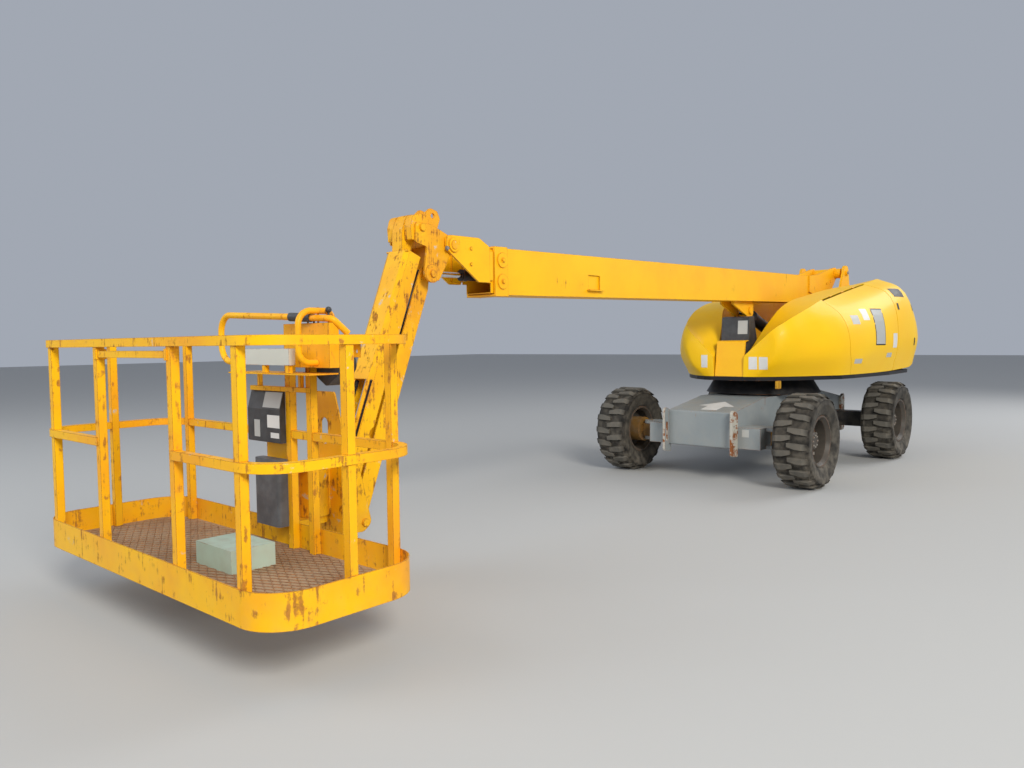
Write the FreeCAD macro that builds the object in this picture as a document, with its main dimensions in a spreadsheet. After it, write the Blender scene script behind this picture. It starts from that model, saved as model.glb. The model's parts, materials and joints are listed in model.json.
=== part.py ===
import FreeCAD, Part
import math
import os
import re
from FreeCAD import Rotation, Vector

# Telescopic boom lift with a jib, parked with its jib lowered.
# Lengths are in millimetres. +X runs forward along the boom, +Y to the left, +Z up.
# Places are measured from the slewing axis on the ground; every finished piece is then
# moved back by middle_x, so that the ground under the middle of the machine is the origin.

SIZES = {
    # whole machine
    "middle_x": 2269.5,
    # running gear
    "wheelbase": 2370.0,
    "track": 1892.0,
    "tyre_diameter": 864.0,
    "tyre_width": 340.0,
    "lug_height": 26.0,
    "lug_count": 20,
    "rim_diameter": 452.0,
    "hub_radius": 125.0,
    "stub_radius": 40.0,
    "kingpin_inset": 256.0,
    "kingpin_radius": 28.0,
    "axle_height": 200.0,
    # chassis box
    "chassis_overhang": 235.0,
    "chassis_width": 690.0,
    "chassis_bottom": 325.0,
    "chassis_nose_top": 670.0,
    "chassis_top": 775.0,
    "chassis_flat": 1500.0,
    "chassis_wall": 10.0,
    "ring_radius": 430.0,
    "ring_height": 60.0,
    "spigot_radius": 250.0,
    # turntable and hoods
    "floor_top": 983.7,
    "floor_thick": 40.0,
    "skirt_bottom": 790.0,
    "hood_wall": 8.0,
    "hood_gap": 6.0,
    "door_line": 2.08,
    "door_front": 20.0,
    "door_rear": -1200.0,
    "hinge_radius": 4.5,
    "hinge_length": 90.0,
    "hinge_out": 668.0,
    "hinge_x": -500.0,
    "hinge_z": 1863.0,
    "hinge_slope": 9.816,
    "weight_inner": 410.0,
    "weight_width": 480.0,
    "lift_foot_x": -1300.0,
    "lift_foot_z": 1075.0,
    "lift_head_x": 480.0,
    "lift_head_z": 1660.0,
    "lift_pin_radius": 25.0,
    # boom pivot and tubes
    "pivot_x": -1785.0,
    "pivot_z": 2165.0,
    "upright_gap": 500.0,
    "upright_thick": 25.0,
    "pin_radius": 32.0,
    "boom_slope": 1.151,
    "boom_front": 4473.0,
    "boom_rear": -1480.0,
    "boom_front_top": 1987.0,
    "boom_height": 312.0,
    "boom_width": 250.0,
    "boom_wall": 6.0,
    "inner_gap": 6.0,
    "inner_wall": 6.0,
    "inner_length": 5500.0,
    "collar_length": 130.0,
    "telescope_travel": 4900.0,
    # nose and jib
    "nose_x": 4857.0,
    "nose_z": 1970.0,
    "nose_plate": 14.0,
    "nose_pin_radius": 28.0,
    "level_foot_x": 3950.0,
    "level_foot_z": 1815.0,
    "level_head_x": 4930.0,
    "level_head_z": 1797.0,
    "level_pin_radius": 16.0,
    "nose_inner": 128.0,
    "head_outer": 120.0,
    "head_plate": 12.0,
    "jib_x": 5018.0,
    "jib_z": 1785.0,
    "jib_length": 1540.0,
    "jib_angle": 69.0,
    "jib_rise": 273.0,
    "jib_lead": 80.0,
    "jib_pin_radius": 22.0,
    "jib_travel": 125.0,
    "upper_arm_half": 103.0,
    "lower_arm_half": 44.0,
    "arm_plate": 8.0,
    "fold_width": 35.0,
    "fold_depth": 18.0,
    "lug_half": 44.0,
    "lug_end": 165.0,
    "cover_end": 560.0,
    # basket
    "basket_x": 6423.5,
    "basket_length": 2302.0,
    "basket_depth": 791.0,
    "basket_bottom": 281.0,
    "floor_rise": 17.0,
    "floor_sheet": 6.0,
    "toe_height": 150.0,
    "toe_thick": 5.0,
    "rail_top": 1400.0,
    "rail_size": 40.0,
    "mid_rail_z": 900.0,
    "corner_radius": 200.0,
    "rotator_x": 5830.0,
    "rotator_radius": 85.0,
    # fits
    "running_gap": 0.08,
    "seat_gap": 0.3,
}

doc = FreeCAD.newDocument("BoomLift")
sheet = doc.addObject("Spreadsheet::Sheet", "Sizes")
for row, (alias, value) in enumerate(SIZES.items(), 1):
    sheet.set("A%d" % row, alias)
    sheet.set("B%d" % row, str(value))
    sheet.setAlias("B%d" % row, alias)
doc.recompute()


class Sheet:
    """Reads a size from the sheet by its name."""

    def __getattr__(self, alias):
        return float(sheet.get(alias))


S = Sheet()
NODES = []


def cells(text):
    """Turns a formula of size names into one that points at the sheet."""
    return re.sub(r"[a-z_]+", lambda m: ("Sizes." if m.group(0) in SIZES else "") + m.group(0), text)


def bind(piece, prop, formula):
    piece.setExpression(prop, cells(formula))
    return piece


def place(piece, where):
    for axis, formula in zip("xyz", where):
        bind(piece, "Placement.Base." + axis, formula)
    return piece


def box(name, size, corner):
    """A block from its three edge lengths and its lowest corner, all as formulas."""
    piece = doc.addObject("Part::Box", name)
    for prop, formula in zip(("Length", "Width", "Height"), size):
        bind(piece, prop, formula)
    return place(piece, corner)


def rod(name, radius, length, start, along="y", tilt=0.0):
    """A round bar from its start, along an axis or tilted in the boom's plane."""
    piece = doc.addObject("Part::Cylinder", name)
    bind(piece, "Radius", radius)
    bind(piece, "Height", length)
    turns = {"z": Rotation(), "x": Rotation(Vector(0, 1, 0), 90), "y": Rotation(Vector(1, 0, 0), -90)}
    turn = turns[along]
    if tilt:
        turn = Rotation(Vector(0, -1, 0), tilt).multiply(turn)
    piece.Placement = FreeCAD.Placement(Vector(), turn)
    return place(piece, start)


def hidden_plane(body, role):
    return [f for f in body.Origin.OriginFeatures if f.Role == role][0]


def rounded(points):
    """Edges of a closed outline; each point is (x, y) or (x, y, corner radius)."""
    count = len(points)
    starts, ends, arcs = [], [], []
    for i, point in enumerate(points):
        here = Vector(point[0], point[1], 0)
        radius = point[2] if len(point) > 2 else 0.0
        if radius <= 0:
            starts.append(here)
            ends.append(here)
            arcs.append(None)
            continue
        before = Vector(points[i - 1][0], points[i - 1][1], 0) - here
        after = Vector(points[(i + 1) % count][0], points[(i + 1) % count][1], 0) - here
        before.normalize()
        after.normalize()
        half = before.getAngle(after) / 2
        reach = radius / math.tan(half)
        middle = before + after
        middle.normalize()
        centre = here + middle * (radius / math.sin(half))
        starts.append(here + before * reach)
        ends.append(here + after * reach)
        arcs.append(Part.Arc(starts[-1], centre - middle * radius, ends[-1]))
    edges = []
    for i in range(count):
        if arcs[i]:
            edges.append(arcs[i])
        following = starts[(i + 1) % count]
        if (following - ends[i]).Length > 1e-6:
            edges.append(Part.LineSegment(ends[i], following))
    return edges


def circle(x, y, radius):
    return Part.Circle(Vector(x, y, 0), Vector(0, 0, 1), radius)


def slot(x, y, length, width):
    """A round-ended upright slot about its centre."""
    r = width / 2
    h = length / 2 - r
    low, high = Vector(x, y - h, 0), Vector(x, y + h, 0)
    side = Vector(r, 0, 0)
    return [
        Part.LineSegment(low + side, high + side),
        Part.Arc(high + side, high + Vector(0, r, 0), high - side),
        Part.LineSegment(high - side, low - side),
        Part.Arc(low - side, low - Vector(0, r, 0), low + side),
    ]


def plate(name, outline, thickness, centre="0", holes=(), plane="XZ_Plane"):
    """A flat plate: an outline in an origin plane, padded evenly to both sides."""
    body = doc.addObject("PartDesign::Body", name)
    sketch = body.newObject("Sketcher::SketchObject", name + "Outline")
    sketch.AttachmentSupport = [(hidden_plane(body, plane), "")]
    sketch.MapMode = "FlatFace"
    for edge in rounded(outline):
        sketch.addGeometry(edge, False)
    for hole in holes:
        for edge in hole if isinstance(hole, list) else [hole]:
            sketch.addGeometry(edge, False)
    pad = body.newObject("PartDesign::Pad", name + "Pad")
    pad.Profile = sketch
    pad.Midplane = True
    bind(pad, "Length", thickness)
    body.Tip = pad
    axis = {"XZ_Plane": "y", "XY_Plane": "z", "YZ_Plane": "x"}[plane]
    bind(body, "Placement.Base." + axis, centre)
    return body


def turned(name, profile, where):
    """A solid of revolution about the Y axis from (radius, y) points."""
    body = doc.addObject("PartDesign::Body", name)
    sketch = body.newObject("Sketcher::SketchObject", name + "Profile")
    sketch.AttachmentSupport = [(hidden_plane(body, "XY_Plane"), "")]
    sketch.MapMode = "FlatFace"
    for edge in rounded(profile):
        sketch.addGeometry(edge, False)
    spin = body.newObject("PartDesign::Revolution", name + "Turn")
    spin.Profile = sketch
    spin.ReferenceAxis = (hidden_plane(body, "Y_Axis"), [""])
    spin.Angle = 360
    body.Tip = spin
    return place(body, where) if where else body


def turned_upright(name, profile):
    """A solid of revolution about the Z axis from (radius, z) points."""
    body = doc.addObject("PartDesign::Body", name)
    sketch = body.newObject("Sketcher::SketchObject", name + "Profile")
    sketch.AttachmentSupport = [(hidden_plane(body, "XZ_Plane"), "")]
    sketch.MapMode = "FlatFace"
    for edge in rounded(profile):
        sketch.addGeometry(edge, False)
    spin = body.newObject("PartDesign::Revolution", name + "Turn")
    spin.Profile = sketch
    spin.ReferenceAxis = (hidden_plane(body, "Z_Axis"), [""])
    spin.Angle = 360
    body.Tip = spin
    return body


def solid(name, shape):
    """A piece whose shape is worked out here from the sheet's sizes."""
    piece = doc.addObject("Part::Feature", name)
    piece.Shape = shape
    return piece


def cut(name, base, tool):
    piece = doc.addObject("Part::Cut", name)
    piece.Base = base
    piece.Tool = tool
    return piece


def node(label, *pieces):
    """One finished sub-part: its pieces in one object, moved to the machine's origin."""
    if len(pieces) == 1:
        whole = doc.addObject("Part::Compound", "Node_" + label)
        whole.Links = list(pieces)
    else:
        whole = doc.addObject("Part::MultiFuse", "Node_" + label)
        whole.Shapes = list(pieces)
    whole.Label = label
    bind(whole, "Placement.Base.x", "-middle_x")
    NODES.append(whole)
    return whole


# Wheels

def tyre_profile():
    """Radius and width points of the carcass, under the lugs, with an open bead."""
    r = S.tyre_diameter / 2 - S.lug_height
    bead = S.rim_diameter / 2
    w = S.tyre_width / 2
    return [
        (bead, -w + 52), (bead + 28, -w + 24), (r - 70, -w), (r - 26, -w + 4),
        (r, -w + 40), (r, w - 40), (r - 26, w - 4), (r - 70, w),
        (bead + 28, w - 24), (bead, w - 52),
    ]


def lug(side):
    """One dog-leg lug from the tread's middle over the shoulder, on top of the tyre."""
    tip = S.tyre_diameter / 2
    base = tip - S.lug_height - 6
    w = S.tyre_width / 2
    plan = [(-22, -14), (14, -14), (34, 60), (40, w - 12), (-14, w - 12), (-20, 60)]
    wire = Part.makePolygon([Vector(x, side * y, base) for x, y in plan + plan[:1]])
    block = Part.Face(wire).extrude(Vector(0, 0, tip - base))
    shoulder = Part.makePolygon([
        Vector(-80, side * (w - 60), tip + 1), Vector(-80, side * (w + 1), tip - 34),
        Vector(-80, side * (w + 1), tip + 1), Vector(-80, side * (w - 60), tip + 1)])
    return block.cut(Part.Face(shoulder).extrude(Vector(160, 0, 0)))


def tyre_shape():
    edges = [edge.toShape() for edge in rounded(tyre_profile())]
    carcass = Part.Face(Part.Wire(edges)).revolve(Vector(), Vector(0, 1, 0), 360)
    lugs = []
    count = int(S.lug_count)
    for i in range(count):
        for side, phase in ((1, 0.0), (-1, 0.5)):
            piece = lug(side)
            piece.rotate(Vector(), Vector(0, 1, 0), (i + phase) * 360.0 / count)
            lugs.append(piece)
    return carcass.fuse(lugs)


def rim_profile():
    """Flanges, bead seats, drop centre, the deep-set disc and a blind hub bore."""
    r = S.rim_diameter / 2 - S.seat_gap
    bore = S.stub_radius + S.running_gap
    return [
        (r + 10, 136), (r + 10, 129), (r, 119), (r, 92), (r - 20, 72), (r - 20, -72), (r, -92), (r, -119),
        (r + 10, -129), (r + 10, -136), (r - 6, -136), (r - 28, -100), (r - 28, -8), (125, 12),
        (100, 0.3), (bore, 0.3), (bore, 50), (0, 50), (0, 80), (66, 80), (82, 70), (92, 30), (128, 24),
        (r - 28, 4), (r - 28, 100), (r - 4, 136),
    ]


WHEELS = {
    # name: front or rear, left or right
    "front_left": (1, 1), "front_right": (1, -1), "rear_left": (-1, 1), "rear_right": (-1, -1),
}


def make_wheels():
    carcass = tyre_shape()
    edges = [edge.toShape() for edge in rounded([(x, y, 0) for x, y in rim_profile()])]
    rim = Part.Face(Part.Wire(edges)).revolve(Vector(), Vector(0, 1, 0), 360)
    for name, (fore, side) in WHEELS.items():
        place_at = ("%d * wheelbase / 2" % fore, "%d * track / 2" % side, "tyre_diameter / 2")
        for kind, shape in (("tyre", carcass), ("rim", rim)):
            piece = solid("%s_%s_shape" % (kind, name), shape)
            if side < 0:
                piece.Placement = FreeCAD.Placement(Vector(), Rotation(Vector(0, 0, 1), 180))
            node("%s_%s" % (kind, name), place(piece, place_at))


# Chassis

def make_chassis():
    half = S.wheelbase / 2 + S.chassis_overhang
    flat = S.chassis_flat / 2
    side = [
        (-half, S.chassis_bottom, 20), (half, S.chassis_bottom, 20), (half, S.chassis_nose_top, 14),
        (flat, S.chassis_top), (-flat, S.chassis_top), (-half, S.chassis_nose_top, 14),
    ]
    w = S.chassis_wall
    inside = [
        (-half + w, S.chassis_bottom - w), (half - w, S.chassis_bottom - w),
        (half - w, S.chassis_nose_top - w - 2), (flat, S.chassis_top - w),
        (-flat, S.chassis_top - w), (-half + w, S.chassis_nose_top - w - 2),
    ]
    shell = cut("chassis_hollow", plate("chassis_outer", side, "chassis_width"),
                plate("chassis_inner", inside, "chassis_width - 2 * chassis_wall"))
    shell = cut("chassis_shell", shell, box("tie_rod_ways", ("100", "chassis_width + 20", "52"),
                                            ("wheelbase / 2 - 275", "-chassis_width / 2 - 10",
                                             "tyre_diameter / 2 - 84")))
    pieces = [shell]
    for end, fore in (("front", 1), ("rear", -1)):
        for hand, left in (("left", 1), ("right", -1)):
            x = fore * half
            outline = [(x - fore * 40, S.chassis_bottom - 70, 12), (x + fore * 75, S.chassis_bottom - 60, 30),
                       (x + fore * 75, S.chassis_nose_top + 45, 36), (x - fore * 40, S.chassis_nose_top - 10, 12)]
            if fore < 0:
                outline.reverse()
            hole = slot(x + fore * 38, 460, 190, 34)
            pieces.append(plate("tie_down_%s_%s" % (end, hand), outline, "26",
                                "%d * (chassis_width / 2 + 12)" % left, [hole]))
    node("chassis_frame", *pieces)
    ring = rod("ring_drum", "ring_radius", "ring_height", ("0", "0", "chassis_top + seat_gap"), "z")
    spigot = rod("ring_spigot", "spigot_radius", "120", ("0", "0", "chassis_top + ring_height - 10"), "z")
    node("slew_ring", ring, spigot)


def make_axles():
    wheel_z = "tyre_diameter / 2"
    length = "(track / 2 - kingpin_inset) - chassis_width / 2 - 100"
    pieces = []
    for hand, left in (("left", 1), ("right", -1)):
        start = "chassis_width / 2 + seat_gap" if left > 0 else "-((track / 2 - kingpin_inset) - 100) - seat_gap"
        pieces.append(box("front_box_" + hand, ("300", length, "axle_height"),
                          ("wheelbase / 2 - 110", start, "%s - axle_height / 2" % wheel_z)))
        for level, z in (("low", "- axle_height / 2"), ("high", "+ axle_height / 2 - 34")):
            ear = plate("yoke_%s_%s" % (level, hand), yoke_outline(left), "34",
                        "%s %s + 17" % (wheel_z, z), [circle(0, left * (S.track / 2 - S.kingpin_inset), S.kingpin_radius)],
                        "XY_Plane")
            bind(ear, "Placement.Base.x", "wheelbase / 2")
            pieces.append(ear)
    node("front_axle", *pieces)
    pieces = []
    for hand, left in (("left", 1), ("right", -1)):
        length = "track / 2 - 60 - chassis_width / 2 - seat_gap"
        start = "chassis_width / 2 + seat_gap" if left > 0 else "-(track / 2 - 60)"
        pieces.append(box("rear_beam_" + hand, ("170", length, "170"),
                          ("-wheelbase / 2 - 85", start, wheel_z + " - 85")))
        start = "track / 2 - 180" if left > 0 else "-track / 2"
        pieces.append(rod("rear_drum_" + hand, "hub_radius", "180", ("-wheelbase / 2", start, wheel_z)))
        start = "track / 2 - 20" if left > 0 else "-(track / 2 + 48)"
        pieces.append(rod("rear_stub_" + hand, "stub_radius", "68", ("-wheelbase / 2", start, wheel_z)))
    node("rear_axle", *pieces)
    for hand, left in (("left", 1), ("right", -1)):
        pin = rod("kingpin_" + hand, "kingpin_radius - running_gap", "axle_height",
                  ("wheelbase / 2", "%d * (track / 2 - kingpin_inset)" % left, "%s - axle_height / 2" % wheel_z), "z")
        block = box("knuckle_block_" + hand, ("130", "110", "axle_height - 68 - 4"),
                    ("wheelbase / 2 - 65", "%d * (track / 2 - kingpin_inset) - 55" % left,
                     "%s - axle_height / 2 + 36" % wheel_z))
        reach = "kingpin_inset - 80"
        start = "(track / 2 - kingpin_inset) + 80" if left > 0 else "-track / 2"
        motor = rod("knuckle_motor_" + hand, "hub_radius", reach, ("wheelbase / 2", start, wheel_z))
        start = "(track / 2 - kingpin_inset) + 40" if left > 0 else "-(track / 2 - 20)"
        neck = rod("knuckle_neck_" + hand, "58", "kingpin_inset - 60",
                   ("wheelbase / 2", start, wheel_z))
        start = "track / 2 - 20" if left > 0 else "-(track / 2 + 48)"
        stub = rod("knuckle_stub_" + hand, "stub_radius", "68", ("wheelbase / 2", start, wheel_z))
        arm = box("steer_arm_" + hand, ("230", "46", "26"),
                  ("wheelbase / 2 - 250", "%d * (track / 2 - kingpin_inset) - 23" % left, "%s - 40" % wheel_z))
        node("knuckle_" + hand, pin, block, neck, motor, stub, arm)
    node("tie_rod", rod("tie_rod_bar", "18", "track - 2 * kingpin_inset - 16",
                        ("wheelbase / 2 - 225", "-(track - 2 * kingpin_inset - 16) / 2",
                         "%s - 40 - seat_gap - 18" % wheel_z)))


def yoke_outline(left):
    inner = left * ((S.track / 2 - S.kingpin_inset) - 110)
    outer = left * ((S.track / 2 - S.kingpin_inset) + 55)
    points = [(-75, inner), (75, inner), (75, outer, 50), (-75, outer, 50)]
    return points if left > 0 else points[::-1]


# Turntable

HOOD_SECTIONS = (
    # x; y of the inner foot; then y and z of the ridge, crease, shoulder, waist and outer foot
    (830, 160, 166, 1165, 176, 1200, 230, 1185, 240, 1090, 190, 984),
    (800, 165, 172, 1195, 440, 1440, 480, 1380, 430, 1120, 290, 984),
    (700, 172, 185, 1267, 544, 1532, 590, 1440, 555, 1160, 425, 984),
    (500, 200, 243, 1482, 610, 1620, 670, 1500, 720, 1190, 602, 984),
    (300, 300, 321, 1685, 650, 1693, 775, 1540, 840, 1200, 735, 984),
    (50, 345, 352, 1775, 662, 1765, 860, 1590, 930, 1200, 870, 984),
    (-200, 350, 356, 1815, 660, 1810, 885, 1640, 975, 1200, 915, 984),
    (-600, 352, 360, 1880, 655, 1880, 900, 1740, 1020, 1270, 950, 984),
    (-1100, 355, 400, 1950, 660, 1965, 910, 1850, 1050, 1330, 990, 990),
    (-1450, 355, 440, 1990, 665, 2020, 910, 1935, 1055, 1370, 1000, 1000),
    (-1750, 355, 450, 2020, 660, 2065, 895, 1960, 1055, 1380, 1005, 1010),
    (-2000, 355, 450, 1930, 650, 1970, 880, 1850, 1040, 1380, 985, 1040),
    (-2200, 355, 450, 1770, 640, 1800, 860, 1690, 980, 1370, 925, 1080),
    (-2280, 355, 450, 1620, 620, 1620, 800, 1560, 890, 1350, 840, 1130),
)


def hood_point(line, x):
    """A place on, or a part of the way past, one of the hood's six lengthwise lines."""
    for front, rear in zip(HOOD_SECTIONS, HOOD_SECTIONS[1:]):
        if x >= rear[0]:
            break
    if line != int(line):
        part = line - int(line)
        return hood_point(int(line), x) * (1 - part) + hood_point(int(line) + 1, x) * part
    line = int(line)
    share = (front[0] - x) / (front[0] - rear[0])
    ends = []
    for row in (front, rear):
        y, z = (row[1], row[11]) if line == 0 else (row[2 * line], row[2 * line + 1])
        ends.append(Vector(x, y, z))
    return ends[0] * (1 - share) + ends[1] * share


def hood_outward(line, x):
    """The outward direction of the hood's surface at a place on a lengthwise line."""
    tip, tail = HOOD_SECTIONS[0][0], HOOD_SECTIONS[-1][0]
    along = hood_point(line, max(x - 60, tail)) - hood_point(line, min(x + 60, tip))
    before, after = max(line - 1, 0), min(line + 1, 5)
    if line != int(line):
        before, after = line, int(line) + 1
    total = Vector()
    for a, b in ((before, line), (line, after)):
        if a != b:
            way = along.cross(hood_point(b, x) - hood_point(a, x))
            way.normalize()
            total += way
    total.normalize()
    return -total


def thin_shell(cells, outer, inner, side):
    """A closed shell over cells of points, with walls along every free edge."""
    corners = [(c[0], c[i], c[i + 1]) for c in cells for i in range(1, len(c) - 1)]
    edges = {(t[i - 1], t[i]) for t in corners for i in range(3)}
    flats = [[outer[k] for k in t] for t in corners] + [[inner[k] for k in t[::-1]] for t in corners]
    for a, b in sorted(edges):
        if (b, a) not in edges:
            flats.append([outer[b], outer[a], inner[a]])
            flats.append([outer[b], inner[a], inner[b]])
    faces = []
    for flat in flats:
        points = [Vector(p.x, side * p.y, p.z) for p in flat]
        if side < 0:
            points.reverse()
        faces.append(Part.Face(Part.makePolygon(points + points[:1])))
    shape = Part.makeSolid(Part.makeShell(faces))
    return shape if shape.Volume > 0 else shape.reversed()


def hood_rows(start, finish):
    """Rows of x values from the front to the rear, through the sections between."""
    rows = [list(start)]
    for section in HOOD_SECTIONS:
        if max(finish) + 15 < section[0] < min(start) - 15:
            rows.append([section[0]] * 6)
    return rows + [list(finish)]


def hood_cells(rows, first, last, offset=0):
    return [((i, j), (i + 1, j), (i + 1, j + 1), (i, j + 1))
            for i in range(offset, offset + len(rows) - 1) for j in range(first, last)]


def hood_grid(rows, shift=()):
    """Outer and inner places of every point of the rows; ends may be shifted inwards."""
    outer, inner = {}, {}
    for i, row in enumerate(rows):
        for j, x in enumerate(row):
            line = S.door_line if shift == "door" and j == 2 else j
            outer[i, j] = hood_point(line, x)
            inner[i, j] = outer[i, j] - hood_outward(line, x) * S.hood_wall
            if j in (0, 5):
                inner[i, j].z = max(inner[i, j].z, outer[i, j].z)
    return outer, inner


def hood_end(cells, grid, row, move):
    """Closes the hood at its first or last row with a flat wall."""
    outer, inner = grid
    ring = [(row, j) for j in range(6)]
    for key in ring:
        inner[key] = inner[key] + Vector(move, 0, 0)
    ring = ring if move < 0 else ring[::-1]
    return cells + [(ring[0], ring[1], ring[2], ring[3]), (ring[0], ring[3], ring[4], ring[5])]


HINGES = (-350.0, 0.0, 350.0)  # places of the three hinges along the hinge line


def hinge_parts(side):
    """Pins on lugs of the fixed strip, and knuckles whose leaves lie on the door."""
    slope = math.radians(S.hinge_slope)
    axis = Vector(math.cos(slope), 0, -math.sin(slope))
    centre = Vector(S.hinge_x, side * S.hinge_out, S.hinge_z)
    half, r = S.hinge_length / 2, S.hinge_radius
    pins, knuckles = [], []
    for step in HINGES:
        middle = centre + axis * step
        pin_bar = Part.makeCylinder(r, 2 * half, middle - axis * half, axis)
        lugs = []
        for end in (-half, half - 10):
            foot = middle + axis * end
            edge = hood_point(2, foot.x).y - 6
            low = min(side * edge, side * (S.hinge_out + r))
            lugs.append(Part.makeBox(10, S.hinge_out + r - edge, 2 * r + 3,
                                     Vector(foot.x, low, foot.z - r - 3)))
        pins.append(pin_bar.fuse(lugs))
        start = middle - axis * (half - 12)
        length = 2 * half - 24
        leaf = [start + Vector(0, side * y, z) for y, z in ((2, -4), (6, 1), (30, -25), (26, -31))]
        leaf = Part.Face(Part.makePolygon(leaf + leaf[:1])).extrude(axis * length)
        tube = Part.makeCylinder(r + 2.7, length, start, axis)
        knuckles.append(tube.fuse(leaf).cut(Part.makeCylinder(r + 0.3, length + 20, start - axis * 10, axis)))
    return pins, knuckles


def make_hoods():
    gap = S.hood_gap
    front, rear = S.door_front, S.door_rear
    tip, tail = HOOD_SECTIONS[0], HOOD_SECTIONS[-1]
    seam = [front + 60] * 3 + [front + 40, front, front - 120]
    noses, tails = [], []
    for hand, side in (("left", 1), ("right", -1)):
        ahead = hood_rows([tip[0]] * 6, seam)
        behind = hood_rows(seam, [rear] * 6)[1:]
        grid = hood_grid(ahead + behind)
        cells = hood_cells(ahead, 0, 5) + hood_cells([seam] + behind, 0, 2, len(ahead) - 1)
        shell = thin_shell(hood_end(cells, grid, 0, -S.hood_wall), grid[0], grid[1], side)
        pins, knuckles = hinge_parts(side)
        noses.append(solid("nose_shell_" + hand, shell.fuse(pins)))
        rows = hood_rows([rear - gap] * 6, [tail[0]] * 6)
        grid = hood_grid(rows)
        cells = hood_end(hood_cells(rows, 0, 5), grid, len(rows) - 1, S.hood_wall)
        feet = [Part.makeBox(60, 7, 26, Vector(x, min(side * 355.5, side * 362.5), S.floor_top + S.seat_gap))
                for x in (-1330, -1560)]
        tails.append(solid("tail_shell_" + hand, thin_shell(cells, grid[0], grid[1], side).fuse(feet)))
        rows = hood_rows([x - gap for x in seam], [rear + gap] * 6)
        grid = hood_grid(rows, "door")
        door = thin_shell(hood_cells(rows, 2, 5), grid[0], grid[1], side)
        node("door_" + hand, solid("door_shell_" + hand, door.fuse(knuckles)))
    node("hood_noses", *noses)
    low, high = tail[1] - S.seat_gap, tail[2] - S.seat_gap
    wall = plate("tail_wall", [(-low, tail[11]), (low, tail[11]), (high, tail[3]), (-high, tail[3])],
                 "hood_wall", "%.1f + hood_wall / 2" % tail[0], (), "YZ_Plane")
    node("tail_cowl", wall, *tails)


def make_turntable():
    feet = [(row[0], row[10] - 3) for row in HOOD_SECTIONS if row[0] >= -1100]
    floor = [(x, -y) for x, y in feet] + [(-1950, -960, 60), (-1950, 960, 60)] + [(x, y) for x, y in feet[::-1]]
    deck = plate("deck_plate", floor, "floor_thick", "floor_top - floor_thick / 2",
                 [circle(0, 0, S.spigot_radius + S.running_gap)], "XY_Plane")
    low, high = S.skirt_bottom, S.floor_top - S.floor_thick
    shelf = S.chassis_top + S.seat_gap + S.ring_height + 0.5
    bore = S.spigot_radius + S.running_gap
    profile = [(bore, shelf), (S.ring_radius + 12, shelf), (S.ring_radius + 12, low), (S.ring_radius + 170, low),
               (S.ring_radius + 80, high), (bore, high)]
    skirt = turned_upright("ring_skirt", profile)
    node("turntable", deck, skirt, *lift_foot())
    base = S.floor_top + S.seat_gap
    outline = [(-2040, base), (-1150, base), (-1250, 1300, 120), (-1690, 2165, 60), (-1710, 2255, 70),
               (-1862, 2255, 70), (-1872, 2165, 40), (-2040, 1500, 60)]
    hole = circle(S.pivot_x, S.pivot_z, S.pin_radius)
    sides = []
    for hand, left in (("left", 1), ("right", -1)):
        sides.append(plate("upright_" + hand, outline, "upright_thick",
                           "%d * (upright_gap / 2 + upright_thick / 2)" % left, [hole]))
    brace = box("upright_brace", ("30", "upright_gap", "500"), ("-2030", "-upright_gap / 2", "floor_top + seat_gap"))
    pivot = rod("pivot_bar", "pin_radius - running_gap", "upright_gap + 2 * upright_thick + 40",
                ("pivot_x", "-(upright_gap / 2 + upright_thick + 20)", "pivot_z"))
    node("uprights", brace, pivot, *sides)
    weight = [(-1540, base), (-1950, base, 30), (-2200, 1100, 40), (-2200, 1364, 20), (-1540, 1364)]
    node("counterweight", *[plate("weight_" + hand, weight[::-1], "weight_width",
                                  "%d * (weight_inner + weight_width / 2)" % left)
                            for hand, left in (("left", 1), ("right", -1))])
    node("engine_block", box("engine_body", ("700", "400", "560"), ("-1080", "-830", "floor_top + seat_gap")))
    node("hydraulic_tank", box("tank_body", ("760", "340", "520"), ("-1080", "460", "floor_top + seat_gap")))
    front = plate("front_cover", [(805, base), (820, base), (795, 1170), (765, 1345, 20), (690, 1352), (690, 1346),
                                  (752, 1336, 14), (780, 1170)], "310")
    node("centre_cover", front)
    cowl = plate("cowl_body", [(480, base), (735, base), (735, 1308, 10), (684, 1326), (668, 1590, 20),
                               (560, 1600, 10), (480, 1340)], "300")
    node("cowl", cowl)


# Boom

def slope_point(along, down):
    """A place on the boom: along from its front end, down from its top face."""
    a = math.radians(S.boom_slope)
    return (S.boom_front - along * math.cos(a) - down * math.sin(a),
            S.boom_front_top + along * math.sin(a) - down * math.cos(a))


def slope_bottom(x):
    """Height of the boom's lower face at a place, a little inside its wall."""
    a = math.radians(S.boom_slope)
    top = S.boom_front_top + (S.boom_front - x) * math.tan(a)
    return top - S.boom_height / math.cos(a) + 3


def sloped_box(name, length, width, height, start, below):
    """A block lying along the boom: start is from its front end, below from its top."""
    piece = doc.addObject("Part::Box", name)
    bind(piece, "Length", length)
    bind(piece, "Width", width)
    bind(piece, "Height", height)
    bind(piece, "Placement.Base.y", "-(%s) / 2" % width)
    x = "boom_front - (%s) * cos(boom_slope) - (%s) * sin(boom_slope)"
    z = "boom_front_top + (%s) * sin(boom_slope) - (%s) * cos(boom_slope)"
    far = "(%s) + (%s)" % (start, length)
    low = "(%s) + (%s)" % (below, height)
    piece.Placement = FreeCAD.Placement(Vector(), Rotation(Vector(0, 1, 0), S.boom_slope))
    bind(piece, "Placement.Base.x", x % (far, low))
    bind(piece, "Placement.Base.z", z % (far, low))
    return piece


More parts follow.
